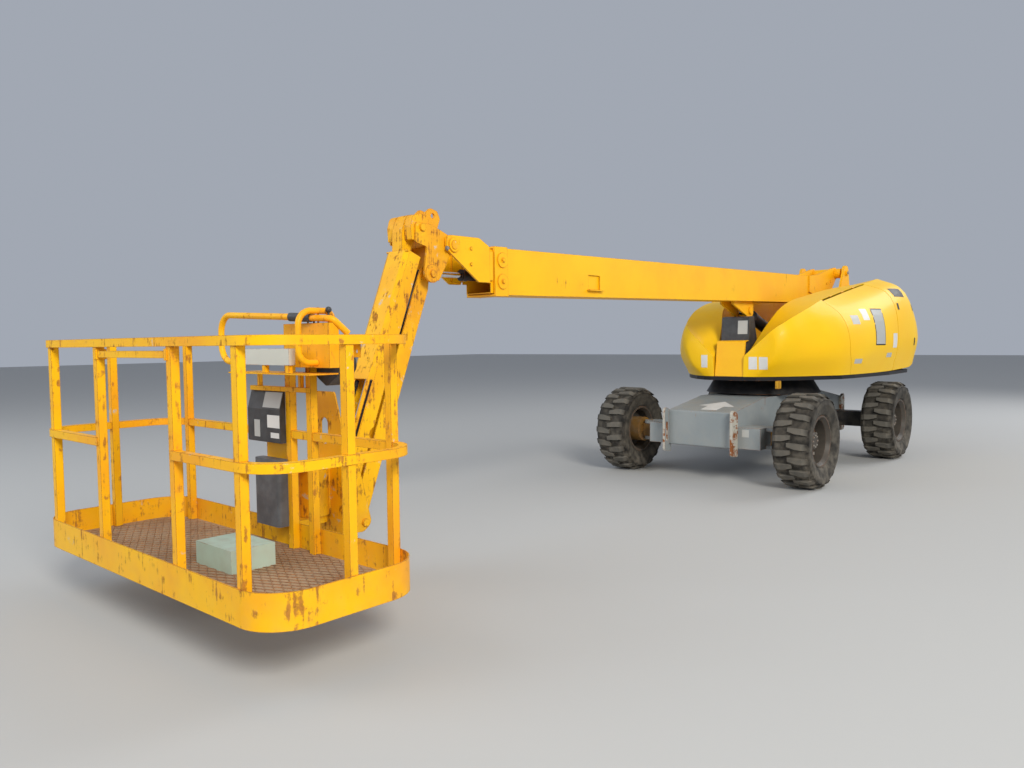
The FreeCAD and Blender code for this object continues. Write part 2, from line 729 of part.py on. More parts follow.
def make_boom():
    length = "boom_front - boom_rear"
    hollow = "boom_height - 2 * boom_wall"
    tube = cut("boom_tube", sloped_box("boom_skin", length, "boom_width", "boom_height", "0", "0"),
               sloped_box("boom_space", length + " + 20", "boom_width - 2 * boom_wall", hollow,
                          "-10", "boom_wall"))
    collar = cut("boom_collar", sloped_box("collar_skin", "collar_length", "boom_width + 16",
                                           "boom_height + 16", "0", "-8"),
                 sloped_box("collar_space", "collar_length + 20", "boom_width - 2 * boom_wall", hollow,
                            "-10", "boom_wall"))
    pads = [rod("collar_pad_%s_%d" % (hand, z), "50", "8",
                ("4395", "boom_width / 2 + 8" if left > 0 else "-boom_width / 2 - 16", str(z)))
            for hand, left in (("left", 1), ("right", -1)) for z in (1908, 1766)]
    gap_width = "boom_width - 2 * boom_wall"
    play = "2 * inner_gap - 2 * seat_gap"
    wear = cut("wear_ring", sloped_box("wear_skin", "70", gap_width + " + 1", hollow + " + 1", "12", "boom_wall - 0.5"),
               sloped_box("wear_space", "90", gap_width + " - (%s)" % play, hollow + " - (%s)" % play, "2",
                          "boom_wall + inner_gap - seat_gap"))
    tube = cut("boom_side_slots", tube, box("slot_space", ("150", "boom_width + 20", "107"),
                                            ("3260", "-boom_width / 2 - 10", "1757")))
    ledges = [box("slot_ledge_" + hand, ("190", "30", "8"),
                  ("3240", "boom_width / 2 - 2" if left > 0 else "-boom_width / 2 - 28", "1745"))
              for hand, left in (("left", 1), ("right", -1))]
    ears = pads + ledges
    root_x, root_z = slope_point(S.boom_front - S.boom_rear, 0)
    for hand, left in (("left", 1), ("right", -1)):
        outline = [(root_x + 520, root_z - 11), (root_x + 520, root_z - 200), (root_x - 30, root_z - 290, 40),
                   (S.pivot_x - 80, S.pivot_z - 20, 70), (S.pivot_x - 40, S.pivot_z + 82, 60),
                   (S.pivot_x + 120, S.pivot_z + 60, 50), (root_x + 250, root_z + 20, 60)]
        ears.append(plate("boom_ear_" + hand, outline[::-1], "16",
                          "%d * (boom_width / 2 + 8)" % left,
                          [circle(S.pivot_x, S.pivot_z, S.pin_radius + S.running_gap)]))
    tube_pin = cut("pivot_sleeve", rod("sleeve_skin", "60", "2 * boom_width / 2 + 32 + 160",
                                       ("pivot_x", "-(boom_width / 2 + 16 + 80)", "pivot_z")),
                   rod("sleeve_bore", "pin_radius + running_gap", "boom_width + 400",
                       ("pivot_x", "-boom_width / 2 - 200", "pivot_z")))
    lug_outline = [(400, slope_bottom(400)), (400, 1605, 45), (530, 1595, 45), (870, 1720), (870, slope_bottom(870))]
    lugs = [plate("lift_lug_" + hand, lug_outline, "20", "%d * 60" % left)
            for hand, left in (("left", 1), ("right", -1))]
    heads = [rod("lift_pin_head_" + hand, "lift_pin_radius + 14", "14",
                 ("lift_head_x", "70" if left > 0 else "-84", "lift_head_z"))
             for hand, left in (("left", 1), ("right", -1))]
    node("boom_outer", tube, collar, wear, tube_pin, *(ears + lugs + heads))
    inner = "boom_width - 2 * boom_wall - 2 * inner_gap"
    high = "boom_height - 2 * boom_wall - 2 * inner_gap"
    tube = cut("inner_tube", sloped_box("inner_skin", "inner_length", inner, high, "-60", "boom_wall + inner_gap"),
               sloped_box("inner_space", "inner_length + 20", inner + " - 2 * inner_wall",
                          high + " - 2 * inner_wall", "-70", "boom_wall + inner_gap + inner_wall"))
    tube = cut("inner_nose", tube, box("nose_notch", ("200", "boom_width", "150"),
                                       ("4490", "-boom_width / 2", "1602")))
    outline = [(4525, 1752, 10), (4630, 1750, 16), (4918, 1942, 60), (4918, 2030, 44), (4625, 2034, 60),
               (4528, 1985, 20)]
    cheeks = [plate("nose_cheek_" + hand, outline, "nose_plate", "%d * (nose_inner + nose_plate / 2)" % left,
                    [circle(S.nose_x, S.nose_z, S.nose_pin_radius + S.running_gap)])
              for hand, left in (("left", 1), ("right", -1))]
    pads = [plate("nose_doubler_" + hand, [(4480, 1770), (4620, 1765), (4620, 1950), (4480, 1960)],
                  "nose_inner - (boom_width / 2 - boom_wall - inner_gap)",
                  "%d * (nose_inner + boom_width / 2 - boom_wall - inner_gap) / 2" % left)
            for hand, left in (("left", 1), ("right", -1))]
    cross = rod("level_foot_pin", "level_pin_radius", inner + " - 2 * inner_wall + 4",
                ("level_foot_x", "-(%s - 2 * inner_wall + 4) / 2" % inner, "level_foot_z"))
    bore = rod("nose_boss_bore", "nose_pin_radius + running_gap", "2 * nose_inner + 100",
               ("nose_x", "-nose_inner - 50", "nose_z"))
    bosses = [cut("nose_boss_" + hand, rod("nose_boss_skin_" + hand, "nose_pin_radius + 16", "12",
                                           ("nose_x", "nose_inner + nose_plate" if left > 0
                                            else "-nose_inner - nose_plate - 12", "nose_z")), bore)
              for hand, left in (("left", 1), ("right", -1))]
    node("boom_inner", tube, cross, *(cheeks + pads + bosses))


def cylinder_pair(name, foot, head, radius, rod_radius, barrel_share, eye_radius, pin_radius, eye_width, stroke):
    """Barrel and rod of a hydraulic cylinder between two pins in the boom's plane."""
    run = head - foot
    length = run.Length
    run.normalize()
    across = Vector(0, 1, 0)

    def eye(centre):
        return Part.makeCylinder(eye_radius, eye_width, centre - across * (eye_width / 2), across)

    hole = Part.makeCylinder(pin_radius + S.running_gap, eye_width + 20,
                             foot - across * (eye_width / 2 + 10), across)
    barrel_end = length * barrel_share
    start = eye_radius * 0.6
    tube = Part.makeCylinder(radius, barrel_end - start, foot + run * start, run)
    gland = Part.makeCylinder(radius + 5, 46, foot + run * (barrel_end - 46), run)
    space = Part.makeCylinder(rod_radius + S.running_gap, length, foot + run * (start + 40), run)
    barrel = tube.fuse([gland, eye(foot)]).cut(space).cut(hole)
    inner_end = start + 50 + max(0.0, -stroke)
    shaft = Part.makeCylinder(rod_radius, length - inner_end - eye_radius * 0.6, foot + run * inner_end, run)
    node(name + "_barrel", solid(name + "_barrel_shape", barrel))
    node(name + "_rod", solid(name + "_rod_shape", shaft.fuse(eye(head))))


def make_lift():
    cylinder_pair("lift", Vector(S.lift_foot_x, 0, S.lift_foot_z), Vector(S.lift_head_x, 0, S.lift_head_z),
                  62, 40, 0.9, 52, S.lift_pin_radius, 92, 1328)


def lift_foot():
    """Two cheeks and the pin that carry the lift cylinder on the turntable."""
    x, z = S.lift_foot_x, S.lift_foot_z
    base = S.floor_top - 1
    cheeks = [plate("lift_foot_" + hand, [(x - 170, base), (x + 150, base), (x + 62, z + 55, 50),
                                          (x - 62, z + 55, 50)],
                    "20", "%d * 72" % left, [circle(x, z, S.lift_pin_radius)])
              for hand, left in (("left", 1), ("right", -1))]
    return [rod("lift_foot_pin", "lift_pin_radius", "180", ("lift_foot_x", "-90", "lift_foot_z"))] + cheeks


# Jib

def jib_direction():
    a = math.radians(S.jib_angle)
    return Vector(math.cos(a), 0, -math.sin(a)), Vector(math.sin(a), 0, math.cos(a))


def beam(points, width):
    """A beam whose outline lies in the boom's plane, centred on it."""
    corners = [p - Vector(0, width / 2, 0) for p in points]
    face = Part.Face(Part.makePolygon(corners + corners[:1]))
    return face.extrude(Vector(0, width, 0))


def pin(centre, radius, width):
    return Part.makeCylinder(radius, width, centre - Vector(0, width / 2, 0), Vector(0, 1, 0))


def in_arm(start, points):
    """Places beside an arm's line: along it from its upper pin, and ahead of it."""
    along, ahead = jib_direction()
    return [start + along * s + ahead * n for s, n in points]


def raised_end():
    """Place of the lower arm's far pin beside the upper arm's line, with the jib fully raised."""
    a = math.radians(S.jib_travel - S.jib_angle)
    return (S.jib_length - S.jib_lead * math.cos(a) - S.jib_rise * math.sin(a),
            S.jib_lead * math.sin(a) - S.jib_rise * math.cos(a))


def channel(start, outline, half, inside):
    """An open channel: an outline along an arm, hollowed by a narrower one."""
    return beam(in_arm(start, outline), 2 * half).cut(beam(in_arm(start, inside), 2 * (half - S.arm_plate)))


def upper_arm(start):
    """Folded cover with a narrow lug at its upper pin and two bare cheeks at its lower one."""
    long, half, wall = S.jib_length, S.upper_arm_half, S.arm_plate
    top, front, rear = S.lug_end, 43.0, -64.0
    body = channel(start, [(top, rear), (long - 20, rear), (long + 48, -30), (long + 48, 20), (long + 20, 43), (top, front)],
                   half, [(top + wall, rear - 5), (long + 90, rear - 5), (long + 90, front - wall), (top + wall, front - wall)])
    along, ahead = jib_direction()
    for side in (1, -1):
        corner = Vector(0, side * half, 0)
        fold = [ahead * front + Vector(0, side * (half - S.fold_width), 0), ahead * (front - S.fold_depth) + corner,
                ahead * (front + 5) + corner * 1.05]
        wedge = Part.Face(Part.makePolygon([start + along * (top - 5) + p for p in fold + fold[:1]]))
        body = body.cut(wedge.extrude(along * (long + 100)))
        skin = [ahead * front + Vector(0, side * (half - S.fold_width), 0), ahead * (front - S.fold_depth) + corner,
                ahead * (front - S.fold_depth - 11) + corner,
                ahead * (front - S.fold_depth - 11) + corner - Vector(0, side * wall, 0),
                ahead * (front - wall - 2) + Vector(0, side * (half - S.fold_width - 12), 0),
                ahead * front + Vector(0, side * (half - S.fold_width - 12), 0)]
        strip = Part.Face(Part.makePolygon([start + along * top + p for p in skin + skin[:1]]))
        body = body.fuse(strip.extrude(along * (long - S.cover_end - top)))
    mouth = [(long - S.cover_end, 14), (long + 100, 14), (long + 100, front + 10), (long - S.cover_end, front + 10)]
    body = body.cut(beam(in_arm(start, mouth), 2 * (half - S.fold_width - 14)))
    wall_end = beam(in_arm(start, [(top, -20), (top + wall, -20), (top + wall, front - 2), (top, front - 2)]),
                    2 * half - 2 * wall + 2)
    lug = beam(in_arm(start, [(top + 2, -25), (30, -34), (0, -36), (-30, -20), (-66, 12), (-74, 40), (-52, 70),
                              (-10, 82), (60, 78), (top + 2, 40)]), 2 * S.lug_half)
    space = beam(in_arm(start, [(top + 30, -60), (48, -60), (48, 46), (top + 30, 32)]), 2 * S.lug_half - 28)
    mouth = beam(in_arm(start, [(top - 1, rear - 6), (top + 40, rear - 6), (top + 40, -26), (top - 1, -26)]),
                 2 * (S.lower_arm_half + 9))
    relief = pin(in_arm(start, [raised_end()])[0], 40.0, 2 * half + 20)
    return body.cut(mouth).cut(relief).fuse([wall_end.cut(mouth), lug.cut(space)])


def lower_arm(start):
    """Narrow channel, open ahead, closed along its rear edge away from its pins."""
    long, half, wall = S.jib_length, S.lower_arm_half, S.arm_plate
    front, rear = 42.0, -62.0
    ends = [(-38, -20), (-38, 20), (-20, 38), (30, front), (long - 30, front), (long + 20, 38), (long + 38, 20),
            (long + 38, -20), (long + 10, -44), (long - 80, rear), (80, rear), (-20, -38)]
    body = beam(in_arm(start, ends), 2 * half)
    inside = [(-60, -80), (150, -80), (150, rear + wall), (long - 150, rear + wall), (long - 150, -80),
              (long + 60, -80), (long + 60, 60), (-60, 60)]
    return body.cut(beam(in_arm(start, inside), 2 * (half - wall)))


HOSES = (
    # place across the arm, place ahead of the arm's line, radius
    (-86, 22, 6.5), (-70, 22, 6.5), (-54, 22, 6.5), (-78, 8, 6.5), (-62, 8, 6.5), (54, 20, 8.0), (76, 20, 8.0),
)


def arm_hoses(start):
    """Hoses laid in the upper arm's open end, held by clamp blocks on its cheeks."""
    along, ahead = jib_direction()
    first, last = S.jib_length - S.cover_end + 2, S.jib_length - 90
    hoses = [Part.makeCylinder(r, last - first, start + along * first + ahead * n + Vector(0, y, 0), along)
             for y, n, r in HOSES]
    clamps = []
    reach = S.upper_arm_half - S.arm_plate - S.seat_gap
    for s in (S.jib_length - 430, S.jib_length - 140):
        for side in (1, -1):
            bar = beam(in_arm(start, [(s, 2), (s + 30, 2), (s + 30, 30), (s, 30)]), reach - 42)
            bar.translate(Vector(0, side * (reach + 42) / 2, 0))
            clamps.append(bar)
    return clamps[0].fuse(clamps[1:] + hoses)


def both_sides(name, radius, inner, outer, x, z):
    """The same round boss on the left and on the right."""
    length = "(%s) - (%s)" % (outer, inner)
    return [rod("%s_%s" % (name, hand), radius, length, (x, inner if left > 0 else "-(%s)" % outer, z))
            for hand, left in (("left", 1), ("right", -1))]


def both_plates(name, outline, inner, outer, holes=()):
    middle = (inner + outer) / 2
    return [plate("%s_%s" % (name, hand), outline, "%.1f" % (outer - inner), "%.1f" % (left * middle), list(holes))
            for hand, left in (("left", 1), ("right", -1))]


def make_jib():
    low_pin = Vector(S.jib_x, 0, S.jib_z)
    high_pin = low_pin + Vector(S.jib_lead, 0, S.jib_rise)
    outline = [(5150, 2088, 26), (5020, 2083, 30), (4880, 2030, 30), (4812, 1998, 34), (4812, 1942, 34),
               (4874, 1900, 20), (4905, 1838), (4958, 1752, 34),
               (5020, 1726, 50), (5080, 1752, 44), (5084, 1800), (5060, 1945, 10), (5150, 1966, 12)]
    low, high = circle(low_pin.x, low_pin.z, S.jib_pin_radius), circle(high_pin.x, high_pin.z, S.jib_pin_radius)
    nose = circle(S.nose_x, S.nose_z, S.nose_pin_radius)
    inner, outer = S.head_outer - S.head_plate, S.head_outer
    pieces = both_plates("head_cheek", outline, inner, outer, [low, high, nose])
    horn = [(5172, 1978, 8), (5178, 2060, 40), (5158, 2128, 46), (5090, 2144, 50), (5030, 2110, 30), (5040, 2000, 10)]
    pieces += both_plates("head_horn", horn, 50.0, inner, [high])
    ear = [(5000, 2036), (5005, 2165, 22), (4968, 2196, 26), (4908, 2182, 24), (4885, 2135, 22), (4925, 2036)]
    pieces += both_plates("head_ear", ear, 40.0, 54.0, [circle(4948, 2150, 15)])
    pieces.append(box("head_top", ("90", "2 * head_outer - 2", "14"), ("4910", "-head_outer + 1", "2030")))
    pieces.append(box("head_back", ("12", "2 * head_outer - 2", "215"), ("4960", "-head_outer + 1", "1745")))
    lug = [(4966, 1760), (4930, 1765, 25), (4903, 1797, 25), (4930, 1829, 25), (4966, 1834)]
    pieces += both_plates("level_lug", lug, 31.0, 41.0)
    pieces += both_sides("level_cap", "level_pin_radius", "40", "48", "level_head_x", "level_head_z")
    pieces += both_sides("low_boss", "56", "head_outer - 1", "head_outer + 3", "jib_x", "jib_z")
    r = S.jib_pin_radius + S.running_gap
    along, ahead = jib_direction()
    far = along * S.jib_length
    lower, upper = lower_arm(low_pin), upper_arm(high_pin)
    for p in (low_pin, low_pin + far):
        lower = lower.cut(pin(p, r, 400))
    for p in (high_pin, high_pin + far):
        upper = upper.cut(pin(p, r, 400))
    node("jib_hoses", solid("jib_hoses_shape", arm_hoses(high_pin)))
    node("jib_lower_arm", solid("lower_arm_shape", lower))
    node("jib_upper_arm", solid("upper_arm_shape", upper))
    pins = [rod("jib_pin_%d" % i, "jib_pin_radius - running_gap", "2 * head_outer + 28",
                (x, "-head_outer - 14", z))
            for i, (x, z) in enumerate((("jib_x", "jib_z"), ("jib_x + jib_lead", "jib_z + jib_rise")))]
    pins.append(rod("nose_pin", "nose_pin_radius - running_gap", "2 * nose_inner + 2 * nose_plate + 34",
                    ("nose_x", "-nose_inner - nose_plate - 17", "nose_z")))
    pins += both_sides("low_spacer", "34", "lower_arm_half + 1", "head_outer - head_plate - seat_gap",
                       "jib_x", "jib_z")
    node("jib_head", *(pieces + pins))
    cylinder_pair("jib", low_pin, high_pin + far, 30, 18, 0.8, 32, S.jib_pin_radius, 60, 480)
    cylinder_pair("level", Vector(S.level_foot_x, 0, S.level_foot_z), Vector(S.level_head_x, 0, S.level_head_z),
                  34, 18, 0.72, 28, S.level_pin_radius, 50, -232)


def make_bracket():
    along, ahead = jib_direction()
    end = Vector(S.jib_x, 0, S.jib_z) + along * S.jib_length
    top = end + Vector(S.jib_lead, 0, S.jib_rise)
    outline = [(end.x - 48, end.z - 10, 44), (end.x + 10, end.z - 52, 44), (end.x + 175, end.z - 40),
               (end.x + 175, top.z + 130), (end.x + 120, top.z + 130), (top.x - 50, top.z + 40, 44)]
    holes = [circle(end.x, end.z, S.jib_pin_radius), circle(top.x, top.z, S.jib_pin_radius)]
    cheeks = both_plates("bracket_cheek", outline, S.head_outer - S.head_plate, S.head_outer, holes)
    pins = [rod("bracket_pin_low", "jib_pin_radius - running_gap", "2 * head_outer + 28",
                ("%.4f" % end.x, "-head_outer - 14", "%.4f" % end.z))]
    pins += both_sides("bracket_pin_high", "jib_pin_radius - running_gap", "62", "head_outer + 14",
                       "%.4f" % top.x, "%.4f" % top.z)
    pins += both_sides("end_spacer", "34", "lower_arm_half + 1", "head_outer - head_plate - seat_gap",
                       "%.4f" % end.x, "%.4f" % end.z)
    mast = [(-150, 300, 12), (150, 300, 12), (150, 930, 12), (95, 1100, 20), (-95, 1100, 20), (-150, 930, 12)]
    windows = [slot(0, 880, 150, 70)]
    back = plate("bracket_mast", mast, "12", "5742", windows, "YZ_Plane")
    drum = cut("rotator_body", rod("rotator_drum", "rotator_radius", "258", ("rotator_x", "0", "421"), "z"),
               rod("rotator_bore", "30 + running_gap", "300", ("rotator_x", "0", "400"), "z"))
    web = box("rotator_web", ("60", "90", "250"), ("5740", "-45", "425"))
    node("platform_bracket", back, drum, web, *(cheeks + pins))
    arms = []
    reach = S.basket_x - S.basket_depth / 2
    for level, z in (("low", 400.0), ("high", 700.5)):
        outline = [(S.rotator_x - 70, -70, 60), (reach - 6, -70), (reach - 6, 70), (S.rotator_x - 70, 70, 60)]
        arms.append(plate("swing_arm_" + level, outline, "39", "%.2f" % z, (), "XY_Plane"))
    arms.append(rod("swing_pin", "30", "300", ("rotator_x", "0", "400"), "z"))
    arms.append(box("swing_plate", ("13.7", "260", "640"), ("basket_x - basket_depth / 2 - 14", "-130", "300")))
    node("basket_mount", *arms)


# Basket

def ring_shape(x0, x1, half, radius, z0, z1, thick):
    outer = [(x0, -half, radius), (x1, -half, radius), (x1, half, radius), (x0, half, radius)]
    inner = [(x0 + thick, -half + thick, radius - thick), (x1 - thick, -half + thick, radius - thick),
             (x1 - thick, half - thick, radius - thick), (x0 + thick, half - thick, radius - thick)]
    def prism(points):
        wire = Part.Wire([e.toShape() for e in rounded(points)])
        return Part.Face(wire).extrude(Vector(0, 0, z1 - z0))
    shape = prism(outer).cut(prism(inner))
    shape.translate(Vector(0, 0, z0))
    return shape


POSTS = (
    # x side (1 front, 0 middle, -1 rear), y
    (1, -950), (1, -350), (1, 420), (1, 950), (-1, -950), (-1, 150), (-1, 335), (-1, 950),
    (0, -1131), (0, 1131),
)


FLOOR_BEAMS = (-900, -350, 0, 350, 900)  # y of the floor's cross members


def make_basket():
    x0 = S.basket_x - S.basket_depth / 2
    x1 = S.basket_x + S.basket_depth / 2
    half = S.basket_length / 2
    z = S.basket_bottom
    r = S.corner_radius
    t = S.rail_size
    toe = ring_shape(x0, x1, half, r, z, z + S.toe_height, S.toe_thick)
    top = ring_shape(x0, x1, half, r, S.rail_top - t, S.rail_top, t)
    middle = ring_shape(x0, x1, half, r, S.mid_rail_z - t / 2, S.mid_rail_z + t / 2, t)
    floor = z + S.floor_rise + S.floor_sheet + S.seat_gap
    gap = Part.makeBox(200, 770, 400, Vector(x1 - 100, -350, S.mid_rail_z - 200))
    shape = toe.fuse([top, middle.cut(gap)])
    posts = []
    for side, y in POSTS:
        x = {1: x1 - t - S.toe_thick, 0: S.basket_x - t / 2, -1: x0 + S.toe_thick}[side]
        if side == 0:
            y = math.copysign(half - t / 2 - S.toe_thick, y)
        posts.append(Part.makeBox(t, t, S.rail_top - 10 - floor, Vector(x, y - t / 2, floor)))
    for start, finish, x in ((-half + 6, half - 6, x0 + 150), (-half + 6, half - 6, x1 - 190)):
        posts.append(Part.makeBox(t, finish - start, S.floor_rise - 0.3, Vector(x, start, z)))
    for y in FLOOR_BEAMS:
        posts.append(Part.makeBox(S.basket_depth - 2, t, S.floor_rise - 0.3, Vector(x0 + 1, y - t / 2, z)))
    tab = Part.makeBox(6, 52, 64, Vector(x0 + 10, 668, S.rail_top - t - 62))
    posts.append(tab.cut(Part.makeCylinder(9, 30, Vector(x0, 694, S.rail_top - t - 34), Vector(1, 0, 0))))
    frame = shape.fuse(posts)
    node("basket_frame", solid("basket_frame_shape", frame))
    floor = [(x0 + 6, -half + 6, r - 6), (x1 - 6, -half + 6, r - 6), (x1 - 6, half - 6, r - 6), (x0 + 6, half - 6, r - 6)]
    sheet_floor = plate("floor_mesh", floor, "floor_sheet", "basket_bottom + floor_rise + floor_sheet / 2", (),
                        "XY_Plane")
    node("basket_floor", sheet_floor)
    px = x1 - t - S.toe_thick
    bar = box("gate_tube", ("32", "770 - rail_size - 0.8", "32"),
              ("basket_x + basket_depth / 2 - rail_size / 2 - toe_thick - 16", "-350 + rail_size / 2 + 0.4",
               "rail_top - 90"))
    ends = []
    for name, y in (("right", -350 + t / 2 - 14), ("left", 420 - t / 2 - 6)):
        for face, x in (("rear", px - 6.4), ("front", px + t + 0.4)):
            ends.append(box("gate_cheek_%s_%s" % (name, face), ("6", "20", "50"),
                            ("%.2f" % x, "%.2f" % y, "rail_top - 99")))
    ends += [box("gate_plate_" + name, ("52.8", "5", "50"), ("%.2f" % (px - 6.4), "%.2f" % y, "rail_top - 99"))
             for name, y in (("right", -350 + t / 2 + 0.4), ("left", 420 - t / 2 - 5.4))]
    node("gate_bar", bar, *ends)


def bent_tube(points, radius):
    """A round tube through (x, y, z, corner radius) places, its corners joined by arcs."""
    places = [Vector(*point[:3]) for point in points]
    edges, last = [], places[0]
    for i in range(1, len(points) - 1):
        back, on = places[i - 1] - places[i], places[i + 1] - places[i]
        back.normalize()
        on.normalize()
        half = back.getAngle(on) / 2
        bend = points[i][3]
        reach = bend / math.tan(half)
        middle = back + on
        middle.normalize()
        inside = places[i] + middle * (bend / math.sin(half) - bend)
        first, second = places[i] + back * reach, places[i] + on * reach
        edges += [Part.LineSegment(last, first).toShape(), Part.Arc(first, inside, second).toShape()]
        last = second
    edges.append(Part.LineSegment(last, places[-1]).toShape())
    profile = Part.Circle(places[0], places[1] - places[0], radius).toShape()
    return Part.Wire(edges).makePipeShell([Part.Wire(profile)], True, False)


def make_console():
    x0 = S.basket_x - S.basket_depth / 2
    post = x0 + S.toe_thick + S.rail_size + 0.3
    seat = "%.1f" % post
    x = x0 + 172
    body = [box("console_box", ("56", "377", "213"), ("%.1f" % (x - 106), "252", "1250")),
            box("console_seat", ("28", "190", "60"), ("%.1f" % (x0 + S.rail_size + 0.3), "360", "1340")),
            box("console_tray", ("%.1f" % (x + 40 - post), "720", "8"), (seat, "-130", "1217")),
            box("console_bar", ("25", "520", "25"), (seat, "-165", "1122"))]
    body += [box("console_strut_%d" % y, ("20", "22", "72"), (seat, str(y), "1146")) for y in (-100, 280)]
    body += [box("front_leg_%d" % y, ("24", "26", "38.7"), ("%.1f" % (x + 13), str(y), "1224")) for y in (-40, 190, 395)]
    front_hoop = bent_tube([(x, -130.4, 1275), (x, -264, 1275, 90), (x, -264, 1523, 90), (x, 330, 1497, 120),
                            (x - 75, 625, 1481, 30), (x0 + 22, 640, S.rail_top + 11.6)], 16)
    side_hoop = bent_tube([(x - 49.6, 530, 1275), (x + 50, 530, 1275, 60), (x + 50, 530, 1520, 70),
                           (x - 138, 530, 1520, 45), (x - 152, 530, S.rail_top + 2.3)], 15)
    body += [solid("front_hoop", front_hoop), solid("side_hoop", side_hoop)]
    node("console", *body)
    node("console_front", box("front_box", ("34", "494", "80"), ("%.1f" % (x + 6), "-61", "1263")))
    controls = [rod("stem_%d" % y, "5", "53", ("%.1f" % (x - 96), str(y), "1463.3"), "z")
                for y in (395, 445, 480, 565)]
    for stem in list(controls):
        knob = doc.addObject("Part::Sphere", stem.Name + "_knob")
        bind(knob, "Radius", "15")
        controls.append(place(knob, ("%.1f" % (x - 96), stem.Name.split("_")[1], "1525")))
    run = Vector(-75, 295, -16)
    run.normalize()
    sleeve_start = Vector(x, 330, 1497) + run * 45
    sleeve = Part.makeCylinder(21, 130, sleeve_start, run).cut(Part.makeCylinder(16.3, 150, sleeve_start - run * 10, run))
    bag = [(345, S.rail_top - 20), (530, S.rail_top - 20), (568, 1240, 40), (430, 1152, 30), (345, 1200, 20)]
    controls += [solid("hoop_sleeve", sleeve),
                 plate("console_bag", bag[::-1], "84", "%.1f" % (x0 - 42.4), (), "YZ_Plane")]
    node("console_controls", *controls)
    paper = [(post, 852), (post + 34, 852, 6), (post + 34, 1026, 6), (post + 8, 1121.6, 4), (post, 1121.6)]
    node("document_box", plate("document_body", paper, "309", "-25.5"))
    can = [(post, -93), (post + 57, -93, 20), (post + 57, 136, 20), (post, 136)]
    node("container", plate("container_body", can, "350", "595", (), "XY_Plane"))
    node("foot_switch", box("foot_switch_body", ("230", "330", "110"), ("6290", "20", "304.3")))


make_chassis()
make_axles()
make_wheels()
make_turntable()
make_hoods()
make_boom()
make_lift()
make_jib()
make_bracket()
make_basket()
make_console()
doc.recompute()

for piece in doc.Objects:
    if "Invalid" in piece.State or "Error" in piece.State:
        raise RuntimeError("failed: %s %s" % (piece.Name, piece.State))
os.makedirs("parts", exist_ok=True)
for whole in NODES:
    shape = whole.Shape
    if shape.isNull() or not shape.isValid() or not shape.Solids:
        raise RuntimeError("bad shape: " + whole.Label)
    shape.exportStep("parts/%s.step" % whole.Label)
    b = shape.BoundBox
    print("%-20s solids %2d  volume %8.4f m3  x %7.0f %7.0f  y %6.0f %6.0f  z %6.0f %6.0f" % (
        whole.Label, len(shape.Solids), shape.Volume / 1e9, b.XMin, b.XMax, b.YMin, b.YMax, b.ZMin, b.ZMax))
print("nodes", len(NODES))
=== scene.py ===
# %% [markdown]
# # Telescopic boom lift
# This lesson dresses a packed boom lift: weathered yellow steel, a grey chassis, dusty lugged tyres and
# a work basket. Units are metres, +X runs forward along the boom, +Y to the left and +Z up.

# %% Load the fixed frame
import json
import math
import bmesh
import bpy
from mathutils import Matrix, Vector
from mathutils.bvhtree import BVHTree

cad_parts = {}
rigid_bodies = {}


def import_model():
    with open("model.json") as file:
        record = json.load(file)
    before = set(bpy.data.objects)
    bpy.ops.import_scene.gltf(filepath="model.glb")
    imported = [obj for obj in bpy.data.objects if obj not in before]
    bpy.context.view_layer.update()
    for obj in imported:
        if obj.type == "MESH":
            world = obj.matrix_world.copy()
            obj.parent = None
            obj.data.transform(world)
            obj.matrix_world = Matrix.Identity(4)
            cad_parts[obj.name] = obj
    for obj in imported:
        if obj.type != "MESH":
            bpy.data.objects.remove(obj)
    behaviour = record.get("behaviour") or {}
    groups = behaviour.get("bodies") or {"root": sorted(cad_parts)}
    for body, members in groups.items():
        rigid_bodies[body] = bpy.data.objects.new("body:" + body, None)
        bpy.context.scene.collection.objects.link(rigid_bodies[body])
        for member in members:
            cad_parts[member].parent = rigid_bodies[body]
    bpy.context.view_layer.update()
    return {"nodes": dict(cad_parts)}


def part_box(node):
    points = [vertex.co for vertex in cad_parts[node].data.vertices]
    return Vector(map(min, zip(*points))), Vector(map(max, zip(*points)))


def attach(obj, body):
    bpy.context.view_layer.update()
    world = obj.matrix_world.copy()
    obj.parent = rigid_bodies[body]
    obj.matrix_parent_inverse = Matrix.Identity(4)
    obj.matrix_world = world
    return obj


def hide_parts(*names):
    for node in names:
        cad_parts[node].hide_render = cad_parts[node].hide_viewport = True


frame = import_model()
nodes = frame["nodes"]

# %% Sizes that several cells share
MIDDLE = 2.2695  # the slewing axis lies this far behind the frame's origin
SIDES = {"left": 1, "right": -1}
WHEEL_X, WHEEL_Y, WHEEL_Z = 1.185, 0.946, 0.432
LUG_TOP = (0.405, 0.428)  # radii between which the tyre turns pale
# radii of a near-black ring at the foot of the tread: painted shade in the groove
GROOVE_SHADE_IN, GROOVE_SHADE_OUT = (0.360, 0.378), (0.398, 0.412)
CHASSIS_SIDE, LUG_START = 0.3455, 1.379  # only the tie-down lugs lie beyond both

# %% [markdown]
# ## Node tools
# A material is a short list of nodes and links. These helpers keep each recipe readable.

# %% Small helpers for node trees
def add(tree, kind, **settings):
    made = tree.nodes.new(kind)
    for key, value in settings.items():
        setattr(made, key, value)
    return made


def link(tree, source, target):
    tree.links.new(source, target)
    return target


def math_node(tree, operation, first, second=None, clamp=False):
    made = add(tree, "ShaderNodeMath", operation=operation, use_clamp=clamp)
    for slot, value in zip(made.inputs, (first, second)):
        if value is None:
            continue
        if hasattr(value, "is_linked"):
            link(tree, value, slot)
        else:
            slot.default_value = value
    return made.outputs[0]


